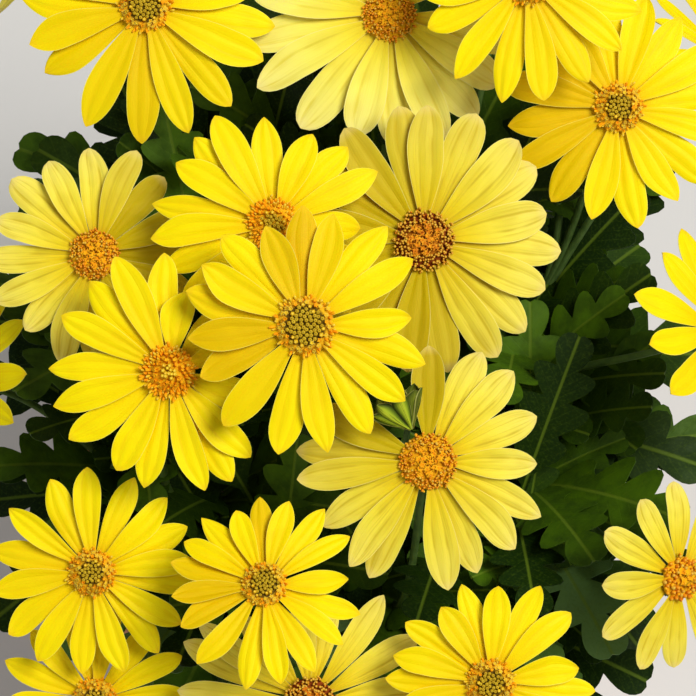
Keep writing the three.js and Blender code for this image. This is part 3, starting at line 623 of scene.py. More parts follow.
def paint_bud():
    """A bud's bract: lime stripe down the middle, green sides with fine veins, dark edges."""
    paint = Paint("bud_bract", 0.12)
    u, v = paint.across()
    tone = paint.tone()
    side = paint.gap(v, 0.5)
    vein = paint.noise(paint.stretch(v, 20.0, u, 1.5, paint.times(tone, OWN_STREAKS)), 1.0, 2.0)
    paint.base = paint.ramp(side, [
        (0.0, (0.52, 0.60, 0.030)),
        (0.14, (0.38, 0.48, 0.020)),
        (0.27, (0.16, 0.23, 0.012)),
        (0.40, (0.050, 0.080, 0.005)),
        (0.47, (0.015, 0.026, 0.002)),
    ])
    paint.lay((0.090, 0.105, 0.010), tone, 0.5, 0.9, 0.8)
    paint.lay((0.020, 0.032, 0.004), vein, 0.44, 0.30, 0.85)
    paint.lay((0.045, 0.070, 0.008), u, 0.72, 1.0, 0.6)
    paint.lay((0.42, 0.42, 0.10), side, 0.47, 0.49, 0.6)
    paint.rough(vein, 0.3, 0.7, 0.42, 0.6)
    return paint.done(vein, 0.5, 0.0003)


def paint_stalk(name, low, high, stripe, scale):
    """A stalk or stem: fine ribs along it and mottled colour."""
    paint = Paint(name, 0.3)
    u, v = paint.across()
    ribs = paint.noise(paint.stretch(v, 16.0, u, 2.0, paint.tone()), 1.0, 2.0)
    mottle = paint.noise(paint.place(), scale, 4.0, 0.6)
    paint.base = paint.mix(paint.step(mottle, 0.3, 0.7), low, high)
    paint.lay(stripe, ribs, 0.5, 0.75, 0.6)
    paint.rough(mottle, 0.3, 0.7, 0.5, 0.75)
    return paint.done(paint.plus(ribs, mottle), 0.5, 0.0003)


def paint_clay():
    """Fired clay: warm orange with pale bloom, fine grit and faint turning lines."""
    paint = Paint("clay", 0.25)
    place = paint.place()
    height = paint.split(place)["Z"]
    cloud = paint.noise(place, 22.0, 5.0, 0.6)
    grit = paint.noise(place, 900.0, 3.0, 0.7)
    speck = paint.cells(place, 420.0)
    lines = paint.noise(paint.join(0.0, 0.0, paint.times(height, 900.0)), 1.0, 3.0)
    bloom = paint.times(paint.step(cloud, 0.5, 0.78), paint.step(grit, 0.35, 0.65))
    low_band = paint.plus(height, paint.times(cloud, 0.03))
    paint.base = paint.ramp(cloud, [
        (0.25, (0.43, 0.17, 0.085)),
        (0.5, (0.53, 0.23, 0.12)),
        (0.8, (0.60, 0.30, 0.17)),
    ])
    paint.cover((0.72, 0.52, 0.40), paint.times(bloom, 0.55))
    paint.cover((0.26, 0.11, 0.06), paint.step(speck, 0.06, 0.14, 0.35, 0.0))
    # Darker towards the foot of the pot, in an uneven band.
    paint.cover((0.34, 0.17, 0.10), paint.step(low_band, 0.018, 0.042, 0.35, 0.0))
    paint.rough(grit, 0.3, 0.7, 0.76, 0.95)
    return paint.done(paint.plus(paint.times(grit, 0.5), paint.times(lines, 0.8)), 0.35, 0.0004)


def paint_soil():
    """Potting soil: dark crumbs with lighter fibres."""
    paint = Paint("soil", 0.15)
    place = paint.place()
    crumb = paint.noise(place, 320.0, 5.0, 0.7)
    fine = paint.noise(place, 1500.0, 3.0, 0.7)
    fibre = paint.cells(place, 260.0)
    paint.base = paint.ramp(crumb, [
        (0.3, (0.018, 0.011, 0.007)),
        (0.55, (0.048, 0.030, 0.018)),
        (0.8, (0.095, 0.062, 0.038)),
    ])
    paint.lay((0.20, 0.13, 0.075), fine, 0.62, 0.75, 0.6)
    paint.cover((0.015, 0.010, 0.007), paint.step(fibre, 0.05, 0.2, 0.4, 0.0))
    paint.rough(fine, 0.3, 0.7, 0.86, 1.0)
    return paint.done(paint.plus(crumb, paint.times(fine, 0.4)), 0.8, 0.0015)


# Each ray paint's deep colour is laid as painted shade on rays turned from the light and as a small random
# deepening; its edge colour is a painted highlight along the rim.
YELLOW = paint_ray(
    "ray_yellow", [(0.84, 0.53, 0.0), (0.94, 0.68, 0.0), (0.98, 0.76, 0.0), (0.98, 0.78, 0.0)],
    vein=(0.87, 0.57, 0.0), edge=(1.0, 0.90, 0.16), tip=(0.92, 0.56, 0.012), deep=(0.71, 0.45, 0.0),
    vein_share=0.24, tip_from=0.9, rim_highlight_share=0.6,
)
PALE = paint_ray(
    "ray_pale", [(0.76, 0.49, 0.006), (0.86, 0.64, 0.014), (0.92, 0.75, 0.060), (0.90, 0.75, 0.13)],
    vein=(0.58, 0.42, 0.015), edge=(0.99, 0.91, 0.34), tip=(0.82, 0.64, 0.20), deep=(0.52, 0.385, 0.0),
    vein_share=0.5, tip_from=0.88, rim_highlight_share=0.5,
)
# Cream rays: a lighter copy of the pale paint, partly their own colour and partly painted light against a
# neighbour's shadow.
CREAM_WITH_PAINTED_LIGHT = paint_ray(
    "ray_cream_painted_light", [(0.80, 0.55, 0.008), (0.92, 0.74, 0.040), (0.97, 0.85, 0.13), (0.96, 0.85, 0.24)],
    vein=(0.74, 0.58, 0.04), edge=(1.0, 0.95, 0.5), tip=(0.90, 0.76, 0.28), deep=(0.66, 0.50, 0.01),
    vein_share=0.4, tip_from=0.88, rim_highlight_share=0.4,
)
# The closed florets' near-black foot is painted shade in the gaps between them.
BEAD = paint_floret(
    "floret_closed", (0.46, 0.29, 0.010), (0.66, 0.46, 0.024), (0.055, 0.028, 0.003), (0.13, 0.070, 0.005),
    (0.0, 0.5, 0.95), (0.84, 0.95, 0.85), 0.5,
)
GOLD = paint_floret(
    "floret_opening", (0.72, 0.42, 0.010), (0.88, 0.60, 0.022), (0.46, 0.19, 0.004), (0.97, 0.76, 0.14),
    (0.0, 0.45, 0.7), (0.6, 1.0, 0.5),
)
STAR = paint_floret(
    "floret_open", (0.90, 0.30, 0.002), (0.98, 0.52, 0.006), (0.74, 0.30, 0.003), (0.99, 0.60, 0.03),
    (0.0, 0.4, 0.7), (0.7, 1.0, 0.5),
)
OLD_STAR = paint_floret(
    "floret_ripe", (0.66, 0.17, 0.004), (0.92, 0.42, 0.012), (0.42, 0.08, 0.003), (0.96, 0.60, 0.08),
    (0.0, 0.45, 0.7), (0.88, 1.0, 0.5),
)
DUST = paint_floret(
    "floret_pollen", (0.60, 0.24, 0.008), (0.78, 0.50, 0.045), (0.22, 0.035, 0.004), (0.86, 0.62, 0.11),
    (0.0, 0.6, 0.9), (0.75, 1.0, 0.5), 0.7,
)
# The young ground's near-black crown is painted shade in the gaps between the closed florets.
YOUNG_GROUND = paint_floret(
    "disc_ground", (0.70, 0.38, 0.008), (0.84, 0.50, 0.012), (0.60, 0.30, 0.006), (0.10, 0.060, 0.006),
    (0.0, 0.3, 0.6), (0.6, 0.72, 0.95), 0.8,
)
OPEN_GROUND = paint_floret(
    "disc_ground_open", (0.78, 0.38, 0.005), (0.90, 0.50, 0.008), (0.66, 0.30, 0.004), (0.70, 0.31, 0.005),
    (0.0, 0.3, 0.6), (0.6, 0.9, 0.6), 0.8,
)
OLD_GROUND = paint_floret(
    "disc_ground_old", (0.50, 0.15, 0.006), (0.66, 0.25, 0.010), (0.26, 0.045, 0.005), (0.58, 0.20, 0.008),
    (0.6, 0.75, 0.95), (0.9, 1.0, 0.3), 0.8,
)
LEAF = paint_leaf(
    "leaf", (0.006, 0.021, 0.0006), (0.094, 0.204, 0.005), (0.135, 0.215, 0.014), (0.064, 0.122, 0.006),
    (0.13, 0.24, 0.08),
)
UNDER = paint_leaf(
    "leaf_under", (0.028, 0.064, 0.014), (0.055, 0.110, 0.024), (0.10, 0.17, 0.05), (0.09, 0.14, 0.055),
    (0.17, 0.26, 0.15),
)
STALK = paint_stalk("stalk", (0.060, 0.120, 0.020), (0.10, 0.18, 0.035), (0.14, 0.20, 0.06), 400.0)
BRACT = paint_stalk("bract", (0.045, 0.100, 0.015), (0.16, 0.26, 0.04), (0.020, 0.045, 0.010), 500.0)
BARK = paint_stalk("bark", (0.10, 0.075, 0.045), (0.19, 0.15, 0.10), (0.060, 0.050, 0.030), 260.0)
BUD_GREEN = paint_bud()
CLAY = paint_clay()
SOIL = paint_soil()


class Head:
    """A flower head: its place, the ways that it faces, its sizes, its stem and its rays."""

    def __init__(self, centre, normal, right, radius, disc, stem, rays, pale):
        self.centre = centre
        self.normal = normal
        self.right = right
        self.up = normal.cross(right)
        self.radius = radius
        self.disc = disc
        self.stem = stem
        self.rays = rays
        self.pale = pale

    def place(self, right, up, out):
        return self.centre + self.right * right + self.up * up + self.normal * out

    def rings(self, profile, sides):
        """Rings round the head's middle, from levels and shares of the disc's radius."""
        return stack(self.centre, self.normal, self.right, 1, self.disc, profile, sides)


HEADS = []
for across, along, out, radius, disc, stem, rays, turn, lean, pale in FIELD_HEADS:
    centre = field_place(across, along, out)
    tilt = math.radians(lean)
    normal = (math.cos(tilt) * FIELD_OUT + math.sin(tilt) * FIELD_ALONG).normalized()
    turned = [(angle + turn, length) for angle, length in rays]
    HEADS.append(Head(centre, normal, FIELD_ACROSS, radius, disc, stem, turned, pale))
for order, (centre, facing, radius, disc, stem, pale) in enumerate(OUTER_HEADS):
    normal = Vector(facing).normalized()
    right = UP.cross(normal).normalized()
    rays = even_rays(OUTER_RAYS, 20 * order)
    HEADS.append(Head(Vector(centre), normal, right, radius, disc, stem, rays, pale))


def arch(share, radius):
    """How far a ray rises above the flower base at a share of the head's radius."""
    return radius * (0.1 * share - 0.14 * share * share)


def ray_width(t, foot, widest, blunt):
    """Half the width of a ray, as a share of its largest, from foot to tip."""
    if t < widest:
        return foot + (1 - foot) * math.sin(0.5 * math.pi * t / widest) ** 1.15
    q = (t - widest) / (1 - widest)
    return max(0.0, 1 - q ** (2 + 0.7 * blunt)) ** (0.86 - 0.3 * blunt)


def add_ray(shape, head, index, angle, length, dice, painted_shade, narrow):
    """One ray: a thin closed blade with two grooves, a soft arch and its own small turns."""
    radius = head.radius
    pale = head.pale
    reach = length * radius
    foot = 0.74 * head.disc
    foot_width = (0.27 if pale else 0.31) * narrow * narrow
    upper = index % 2 == 0
    layer = 0.1 if upper else 0.38 - RAY_LAYER
    turn = math.radians(angle + dice.between(-0.8, 0.8))
    c, s = math.cos(turn), math.sin(turn)
    widest = 0.126 * radius * dice.between(0.95, 1.1) * (1.06 if pale else 1.0) * narrow
    place = dice.between(0.58, 0.7)
    blunt = dice.between(0.75, 1.05) if pale else dice.between(0.05, 0.6)
    if narrow < 1:
        blunt *= 0.5
    skew = dice.between(-0.3, 0.3)
    roll = dice.between(-0.09, 0.11)
    bow = dice.between(-0.6, 0.6)
    lift = dice.between(-0.1, 0.7) if upper else dice.between(-0.2, 0.4)
    curl = dice.between(-1.2, 1.2)
    groove = dice.between(0.22, 0.42)
    cup = dice.between(-0.3, 0.7) if upper else dice.between(-0.7, 0.2)
    # The tone is a small random difference between rays plus painted shade on rays turned from the light.
    tone = clamp(0.3 * dice.share() + painted_shade, 0.0, 1.0)
    wobble = dice.between(0, 6.28)
    rows = []
    for r in range(RAY_ROWS + 1):
        t = 1 - (1 - r / RAY_ROWS) ** 1.3
        out = foot + (reach - foot) * t
        half = widest * max(0.03, ray_width(t, foot_width, place, blunt))
        level = layer + arch(out / radius, radius) + 0.45
        level += lift * t * t + curl * max(0.0, t - 0.62) ** 2 * 5
        fold = 0.3 * (1 - t) ** 1.5
        wave = 0.16 * math.sin(7 * t + wobble)
        fade = smooth(t / 0.2) * smooth((1 - t) / 0.16)
        sway = bow * math.sin(math.pi * t) + skew * widest * smooth((t - 0.6) / 0.4)
        row = []
        for v in RAY_COLUMNS:
            side = v * half
            z = level + fold * abs(side) * 0.5 + roll * side * smooth(2 * t)
            z += cup * (half / widest) * v * v * smooth(t * 1.6)
            z += wave * v
            z -= groove * fade * (math.exp(-(((abs(v) - 0.4) / 0.19) ** 2)))
            z -= 0.12 * fade * smooth((abs(v) - 0.7) / 0.3)
            thick = 0.14 + 0.14 * (1 - v * v)
            x = out * c - (side + sway) * s
            y = out * s + (side + sway) * c
            row.append((head.place(x, y, z), head.place(x, y, z - thick), t, (v + 1) / 2))
        rows.append(row)
    shape.blade(rows, tone)


def dome(share):
    """Height of the disc's ground at a share of its radius."""
    return DISC_GAP + 0.25 + 1.35 * (1 - share ** 2.4)


def add_bead(shape, at, axis, side, radius, height, look, tone, seams):
    """A closed floret: a small rounded bud with shallow seams and a dimple."""
    rings = []
    for level, share, cut in [(0, 0.6, 0), (0.55, 1, 0.5), (0.84, 0.84, 1), (1, 0.42, 1), (0.92, 0.12, 0)]:
        rings.append(ring(at + axis * (height * level), axis, side, radius * share, 10, seams * cut, 5))
    shape.tube(rings, look, tone)


def add_pin(shape, at, axis, side, radius, height, look, tone):
    """A ripe floret: a thin neck with a round head of pollen."""
    neck = 1 - 1.9 * radius / height
    knob = 1 - neck
    profile = [(0, 0.45), (neck, 0.5), (neck + 0.4 * knob, 1), (neck + 0.8 * knob, 0.8), (1, 0.25)]
    shape.tube(stack(at, axis, side, height, radius, profile, 6, 0.12, 3, 9 * tone), look, tone)


def add_finger(shape, at, axis, side, radius, height, look, tone):
    """A floret of the outer rows: a slim finger that leans outwards and narrows to its tip."""
    rings = []
    for level, share in [(0, 0.5), (0.4, 0.75), (0.7, 1), (0.88, 0.75), (1, 0.25)]:
        sag = 0.12 * height * math.sin(3 * level) * (tone - 0.5)
        middle = at + axis * (height * level) + side * sag
        rings.append(ring(middle, axis, side, radius * share, 7, 0.12, 3, 9 * tone))
    shape.tube(rings, look, tone)


def add_star(shape, at, axis, side, radius, height, flare, look, tone):
    """An open floret: a tube that opens into five uneven lobes round its throat."""
    lip = []
    for i, out in enumerate(ring(Vector(), axis, side, radius, 10)):
        tip = i % 2 == 0
        uneven = 0.16 * math.sin(40 * tone + 2.4 * i)
        share = (0.72 + 0.6 * flare if tip else 0.6) * (1 + uneven)
        level = (1.1 - 0.3 * flare) * (1 + 0.6 * uneven) if tip else 0.8
        lip.append(at + axis * (height * level) + out * share)
    foot, neck, throat = stack(at, axis, side, height, radius, [(0, 0.4), (0.7, 0.56), (0.66, 0.3)], 10)
    rows = [(foot, 0.0), (neck, 0.7), (lip, 1.0), (throat, 0.4)]
    shape.solid([shape.row(places, u, tone) for places, u in rows], look)


def make_disc(head, number):
    """The disc: florets in spirals, closed in the middle of a young head, open in an old one."""
    disc = head.disc
    pale = head.pale
    normal = head.normal
    dice = Dice(500 + number)
    shape = Shape()
    fiery = number in FIERY_DISCS
    ruddy = number in RUDDY_DISCS
    closed = CLOSED_SHARES.get(number, dice.between(0.44, 0.58))
    ripe = dice.between(0.5, 0.58)
    inner = ripe if pale else max(0.1, closed)
    profile = [(DISC_GAP, 0.2), (DISC_GAP, 0.86), (DISC_GAP + 0.25, 0.93)]
    profile += [(dome(share), share) for share in (0.85, inner + 0.12, inner, 0.5 * inner, 0.15 * inner)]
    shape.tube(head.rings(profile, 28), GROUND)
    density = 2.0 if number > len(FIELD_HEADS) else 5.4 if pale else 2.5 * (7 / disc) ** 1.5
    spread = 0.89 if pale else 0.83
    count = int(round(density * disc * disc))
    warm = 0.5 * dice.share()
    size = 0.53 * math.sqrt(math.pi * disc * disc / count)
    for i in range(count):
        share = math.sqrt((i + 0.6) / count)
        a = math.radians(FLORET_TURN * i) + 0.6 * number
        shift = 0.25 if share > closed else 0.06
        out = spread * disc * share + dice.between(-shift, shift)
        outward = head.right * math.cos(a) + head.up * math.sin(a)
        aside = normal.cross(outward)
        foot = head.centre + outward * out + aside * dice.between(-shift, shift)
        foot += normal * (dome(share) - 0.25)
        wander = head.right * dice.between(-0.1, 0.1) + head.up * dice.between(-0.1, 0.1)
        tone = dice.share()
        spin = (outward * math.cos(tone * 6) + outward.cross(normal) * math.sin(tone * 6)).normalized()
        stage = share + dice.between(-0.05, 0.05)
        grow = dice.between(0.88, 1.12)
        upright = (normal + outward * (0.12 * share) + wander).normalized()
        if pale and stage < ripe:
            high = dice.between(1.5, 2.1) * (1.0 if ruddy else 0.7)
            look = RIPE if ruddy else OPEN
            if i % 3 == 0:
                flare = dice.between(0.4, 0.9)
                add_star(shape, foot, upright, spin, size * 2.1 * grow, high, flare, look, warm + 0.5 * tone)
            elif i % 3 == 1:
                add_pin(shape, foot, upright, spin, size * 0.5 * grow, high, look, tone)
        elif pale:
            axis = (normal + outward * (0.1 + 1.6 * max(0.0, share - 0.7)) + 2 * wander).normalized()
            high = dice.between(1.6, 2.2) * (1.0 if ruddy else 0.75)
            light = clamp(tone * (1.5 - share) * 1.6, 0.0, 1.0)
            look = POLLEN if ruddy or tone < 0.35 else RIPE
            add_pin(shape, foot, axis, spin, size * 0.84 * grow, high, look, light)
            if i % 3:
                beside = spin * (1.05 * size) + normal.cross(spin) * (dice.between(-0.4, 0.4) * size)
                look = OPEN if not ruddy else POLLEN if i % 3 == 1 else RIPE
                add_pin(shape, foot + beside, axis, spin, size * 0.6, 0.85 * high, look, 1 - tone)
        elif fiery and share < 0.34 and stage > closed:
            add_bead(shape, foot, upright, spin, size * 0.9 * grow, 1.5 + 0.4 * tone, OPENING, tone, 0.25)
        elif stage < closed:
            add_bead(shape, foot, upright, spin, size * 0.86, 1.15 + 0.12 * tone, CLOSED, tone, 0.12)
        elif stage < closed + 0.1:
            look = OPENING if i % 2 else CLOSED
            add_bead(shape, foot, upright, spin, size * 0.84 * grow, 1.4 + 0.3 * tone, look, tone, 0.2)
        elif stage < (0.66 if fiery else 0.88):
            axis = (normal + outward * (0.25 + 1.2 * (share - closed)) + 2 * wander).normalized()
            high = dice.between(1.5, 2.0)
            look = OPEN if fiery or i % 3 == 0 else OPENING
            add_star(shape, foot, axis, spin, size * 1.05 * grow, high, dice.between(0.2, 0.7), look, tone)
        else:
            axis = (normal * dice.between(0.5, 1.1) + outward + 2 * wander).normalized()
            high = dice.between(0.25, 0.35) * disc
            look = OPEN if tone < 0.75 else OPENING
            add_finger(shape, foot, axis, aside, size * 0.64 * grow, high, look, dice.share())
            beside = aside * (size * dice.between(0.7, 1.1)) - outward * (0.5 * size)
            look = OPEN if i % 2 else OPENING
            add_finger(shape, foot + beside, axis, aside, size * 0.5, 0.8 * high, look, dice.share())
    ground = OLD_GROUND if ruddy else OPEN_GROUND if fiery or pale else YOUNG_GROUND
    return shape.build(f"head_{number:02d}_florets", [ground, BEAD, GOLD, STAR, OLD_STAR, DUST])


for number, head in enumerate(HEADS, start=1):
    dice = Dice(number)
    shape = Shape()
    # Painted shade: a deeper gold on the side of the head turned away from the light, or set ray by ray.
    depth, side = PAINTED_SHADE_SIDES.get(number, PAINTED_SHADE_SIDE)
    for index, (angle, length) in enumerate(head.rays):
        painted_shade = depth * max(0.0, math.cos(math.radians(angle - side)))
        if number in PAINTED_SHADE_RAYS:
            painted_shade = PAINTED_SHADE_RAYS[number][index]
        add_ray(shape, head, index, angle, length, dice, painted_shade, NARROW_RAYS.get(number, 1))
    # The thin flower base that carries the rays, under the disc
    base = head.rings([(-1.2, 0.2), (-1.2, 0.86), (-0.6, 0.92), (0.0, 0.84), (0.1, 0.2)], 24)
    shape.tube(base, 1, 0.6)
    # Painted light: the head in its neighbour's shadow gets the lighter cream paint.
    paint = CREAM_WITH_PAINTED_LIGHT if number == PAINTED_LIGHT_HEAD else PALE if head.pale else YELLOW
    petals = shape.build(f"head_{number:02d}_petals", [paint, STALK], 60)
    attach(petals, "root")
    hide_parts(f"head_{number:02d}_rays")
    florets = make_disc(head, number)
    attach(florets, "root")
    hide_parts(f"head_{number:02d}_disc")


def branch_curves(stem):
    """The stem's own curve, and those of its two side branches where it has them."""
    middle, _, foot, lean, height, fan = stem
    angle = math.radians(middle)
    start = polar(foot, angle, SOIL_LEVEL + 4)
    bend = polar(foot, angle, start.z + 0.45 * (height - start.z))
    curves = [Bezier(start, bend, polar(lean, angle, height))]
    for side in (-1, 1) if fan else ():
        start = curves[0].at(FORK)
        tip = polar(BRANCH_LEAN * lean, math.radians(middle + side * fan), height - BRANCH_DROP)
        bend = start.lerp(tip, 0.5)
        bend.z -= BRANCH_SAG
        curves.append(Bezier(start, bend, tip))
    return curves


def core_leaves(curve):
    """The leaves of the unbranched stem in the plant's middle, as the solids have them."""
    plan = []
    for i in range(CORE_LEAVES):
        turns = [math.radians(turn) for turn in (LEAF_TURN * i + 20, 64 + 3 * i, 18)]
        plan.append((curve.at(0.5 + 0.09 * i), CORE_LEAF_LENGTH, *turns))
    return plan


def sector_leaves(stem, index, curves):
    """The leaves of a branched stem, inside its sector, as the solids have them."""
    plan = []
    middle, half = math.radians(stem[0]), math.radians(stem[1])
    for branch, curve in enumerate(curves):
        for i, pick in enumerate(LEAF_PICKS[branch]):
            base = curve.at(LEAF_PLACES[i])
            length = LEAF_LENGTHS[i] + 4 * math.sin(2.1 * i + index + 3 * branch)
            slope = math.radians(LEAF_SLOPES[i] + 5 * math.sin(3.7 * i + 2 * index + branch))
            bend = math.radians(LEAF_BEND + 8 * math.sin(1.7 * i + index + branch))
            reach = length * math.cos(slope - bend / 2)
            aside = math.atan2(base.y, base.x) - middle
            way = 1 if pick > 0 else -1
            to_edge = math.hypot(base.x, base.y) * math.sin(half - way * aside)
            room = to_edge - LEAF_LOBE_REACH[1] * length - SECTOR_MARGIN
            most = half + math.asin(clamp(room / reach, -0.95, 0.95))
            plan.append((base, length, middle + pick * most, slope, bend))
    return plan


def spiral_leaves(curves, spiral, first, dice):
    """Further leaves in spirals up each curve, shortened where they would reach out too far."""
    plan = []
    shares, apart, slopes, bends, lengths, widest = spiral
    for order, curve in enumerate(curves):
        for i, share in enumerate(shares):
            base = curve.at(share)
            heading = math.radians(LEAF_TURN * i + apart * order + first) + dice.between(-0.2, 0.2)
            slope = math.radians(slopes[0] + slopes[1] * share + dice.between(-8, 8))
            bend = math.radians(dice.between(*bends))
            length = dice.between(*lengths)
            reach = length * math.cos(slope - bend / 2)
            far = (base + polar(reach, heading)).xy.length
            if far > widest:
                length *= max(0.6, 1 - (far - widest) / reach)
            plan.append((base, length, heading, slope, bend))
    return plan


def fill_leaves(curves, index):
    """The leaves that close the open corners beside this stem."""
    plan = []
    for stem, branch, share, heading, slope, length in FILL_LEAVES:
        if stem == index:
            turns = [math.radians(turn) for turn in (heading, slope, FILL_LEAF_BEND)]
            plan.append((curves[branch].at(share), length, *turns))
    return plan


def shoot_curves(curves, dice):
    """Short side shoots that fill the plant between its branches."""
    shoots = []
    for branch, curve in enumerate(curves):
        for i, share in enumerate(SHOOT_PLACES):
            start = curve.at(share)
            way = curve.way(share)
            heading = math.atan2(way.y, way.x) + (1 if (i + branch) % 2 else -1) * dice.between(0.6, 1.15)
            rise = dice.between(0.55, 0.95)
            reach = dice.between(24, 34)
            out = polar(math.cos(rise), heading, math.sin(rise))
            bend = start + out * (0.5 * reach) - UP * 3
            shoots.append(Bezier(start, bend, start + out * reach + UP * 4))
    return shoots


def leaf_place(leaf, share):
    """A place on a leaf's midrib, at a share of its length."""
    base, length, heading, slope, bend = leaf
    turn = bend * share
    radius = length / bend
    out = radius * (math.sin(slope) - math.sin(slope - turn))
    return base + polar(out, heading, radius * (math.cos(slope - turn) - math.cos(slope)))


def leaf_rows():
    """Shares of the length at which a leaf has its rows, and half its width there."""
    rows = [(s, LEAF_RIB * (0.55 + 1.7 * s)) for s in (0.0, 0.06, 0.12, 0.18, 0.23)]
    waist = LEAF_RIB * 1.25
    for i in range(3):
        a, b = LEAF_NOTCHES[i], LEAF_NOTCHES[i + 1]
        for k in range(6):
            q = (k + 0.25) / 6
            lobe = math.sin(math.pi * q) ** 0.62
            rows.append((a + (b - a) * q, waist + (LEAF_LOBE_REACH[i] - waist) * lobe))
    for k in range(8):
        q = k / 7
        lobe = math.sin(math.pi * (0.12 + 0.86 * q)) ** 0.8
        rows.append((LEAF_NOTCHES[-1] + 0.21 * q, LEAF_RIB + (0.075 if q < 0.95 else 0.0) * lobe))
    return rows


LEAF_ROWS = leaf_rows()


def add_leaf(shape, leaf, dice):
    """One lobed leaf: a thin closed blade with a raised midrib, folded and a little wavy."""
    _, length, heading, slope, bend = leaf
    side = polar(1, heading + math.pi / 2)
    widest = LEAF_LOBE_REACH[1] * length
    fold = dice.between(0.12, 0.34)
    droop = dice.between(0.3, 0.9)
    twist = dice.between(-0.22, 0.22)
    ripple = dice.between(0.4, 1.1)
    phase = dice.between(0, 6.28)
    tone = 0.8 * dice.share() ** 1.8
    if leaf_place(leaf, 1).y < SAGE_FRONT and dice.share() < SAGE_SHARE:
        tone = dice.between(0.86, 1.0)
    rows = []
    for share, width in LEAF_ROWS:
        row = []
        for v in LEAF_COLUMNS:
            offset = v * width * length
            along = share + LEAF_LOBE_SWEEP * min(1.0, abs(offset) / widest)
            tilt = slope - bend * min(along, 1.1)
            facing = polar(-math.sin(tilt), heading, math.cos(tilt))
            lift = fold * abs(offset) - droop * (offset / widest) ** 2 * 2.2
            lift += twist * offset * share + ripple * 0.5 * math.sin(9 * share + phase) * abs(v)
            ridge = 0.35 * math.exp(-((offset / 0.9) ** 2)) * (1 - 0.6 * share)
            place = leaf_place(leaf, along) + side * offset + facing * lift
            thick = 0.16 + 0.16 * (1 - v * v)
            under = place - facing * (thick + 1.4 * ridge)
            row.append((place + facing * ridge, under, min(share, 1), 0.5 + 0.5 * offset / widest))
        rows.append(row)
    shape.blade(rows, tone, LEAF_TOP, LEAF_UNDER)


def add_stem(shape, curve, first, last, steps, look, side, foot=None):
    """A round stem along a curve, a little knotty where leaves have grown."""
    radii = []
    for i in range(steps + 1):
        share = i / steps
        knots = 1 + 0.07 * math.sin(37 * share) + 0.05 * math.sin(11 * share + 1)
        radii.append((first + (last - first) * share) * knots)
    rings = [] if foot is None else [ring(foot, UP, side, first, 12)]
    shape.tube(rings + curve.rod(side, radii, 12, 0.05, 3, 9), look)


def cup_places(head, ridge, valley):
    """Places round a cup, from the level and radius of its bracts' ridges and of the valleys between."""
    places = []
    for i in range(3 * CUP_BRACTS):
        a = 2 * math.pi * i / (3 * CUP_BRACTS)
        level, radius = ridge if i % 3 == 1 else valley
        out = CUP_TOP - CUP_DEPTH + CUP_DEPTH * level
        places.append(head.place(radius * math.cos(a), radius * math.sin(a), out))
    return places


def add_cup(shape, head):
    """The green cup under a head: a bell of narrow pointed bracts."""
    disc = head.disc
    rows = []
    for level, share in [(0.0, STALK_RADIUS / disc), (0.12, 0.24), (0.3, 0.42), (0.55, 0.64), (0.8, 0.80)]:
        valley = share * (1 - 0.07 * min(1, level * 2))
        rows.append(shape.row(cup_places(head, (level, share * disc), (level, valley * disc)), level))
    rows.append(shape.row(cup_places(head, (1.0, 0.94 * disc), (0.88, 0.84 * disc)), 1.0))
    rows.append(shape.row(cup_places(head, (0.86, 0.7 * disc), (0.86, 0.7 * disc)), 0.9))
    shape.solid(rows, CUPS)


def add_stalk(shape, curve, on, head):
    """A flower stalk that leaves its branch along it and meets the head from behind."""
    start = curve.at(on)
    end = head.place(0, 0, CUP_TOP - CUP_DEPTH)
    span = (end - start).length
    path = Bezier(start, start + curve.way(on) * (0.38 * span), end - head.normal * (0.42 * span), end)
    radii = [STALK_RADIUS * (1.25 - 0.35 * i / 18) for i in range(19)]
    shape.tube(path.rod(head.right, radii, 10, 0.06, 5), STALKS)


def add_bract(shape, places, facing, width, look, tone):
    """One broad bract: a keeled, pointed blade that follows places from its foot to its tip."""
    path = Bezier(*places)
    rows = []
    for r in range(13):
        t = r / 12
        way = path.way(t)
        side = way.cross(facing).normalized()
        out = side.cross(way).normalized()
        half = width * (0.22 + 0.78 * smooth(t / 0.7)) * max(0.03, 1 - max(0.0, (t - 0.66) / 0.34) ** 2.4)
        row = []
        for v in (-1, -0.66, -0.33, 0, 0.33, 0.66, 1):
            keel = 0.18 * math.exp(-((v / 0.2) ** 2)) - 0.5 * half * v * v
            place = path.at(t) + side * (v * half) + out * keel
            row.append((place, place - out * 0.22, t, (v + 1) / 2))
        rows.append(row)
    shape.blade(rows, tone, look, look)


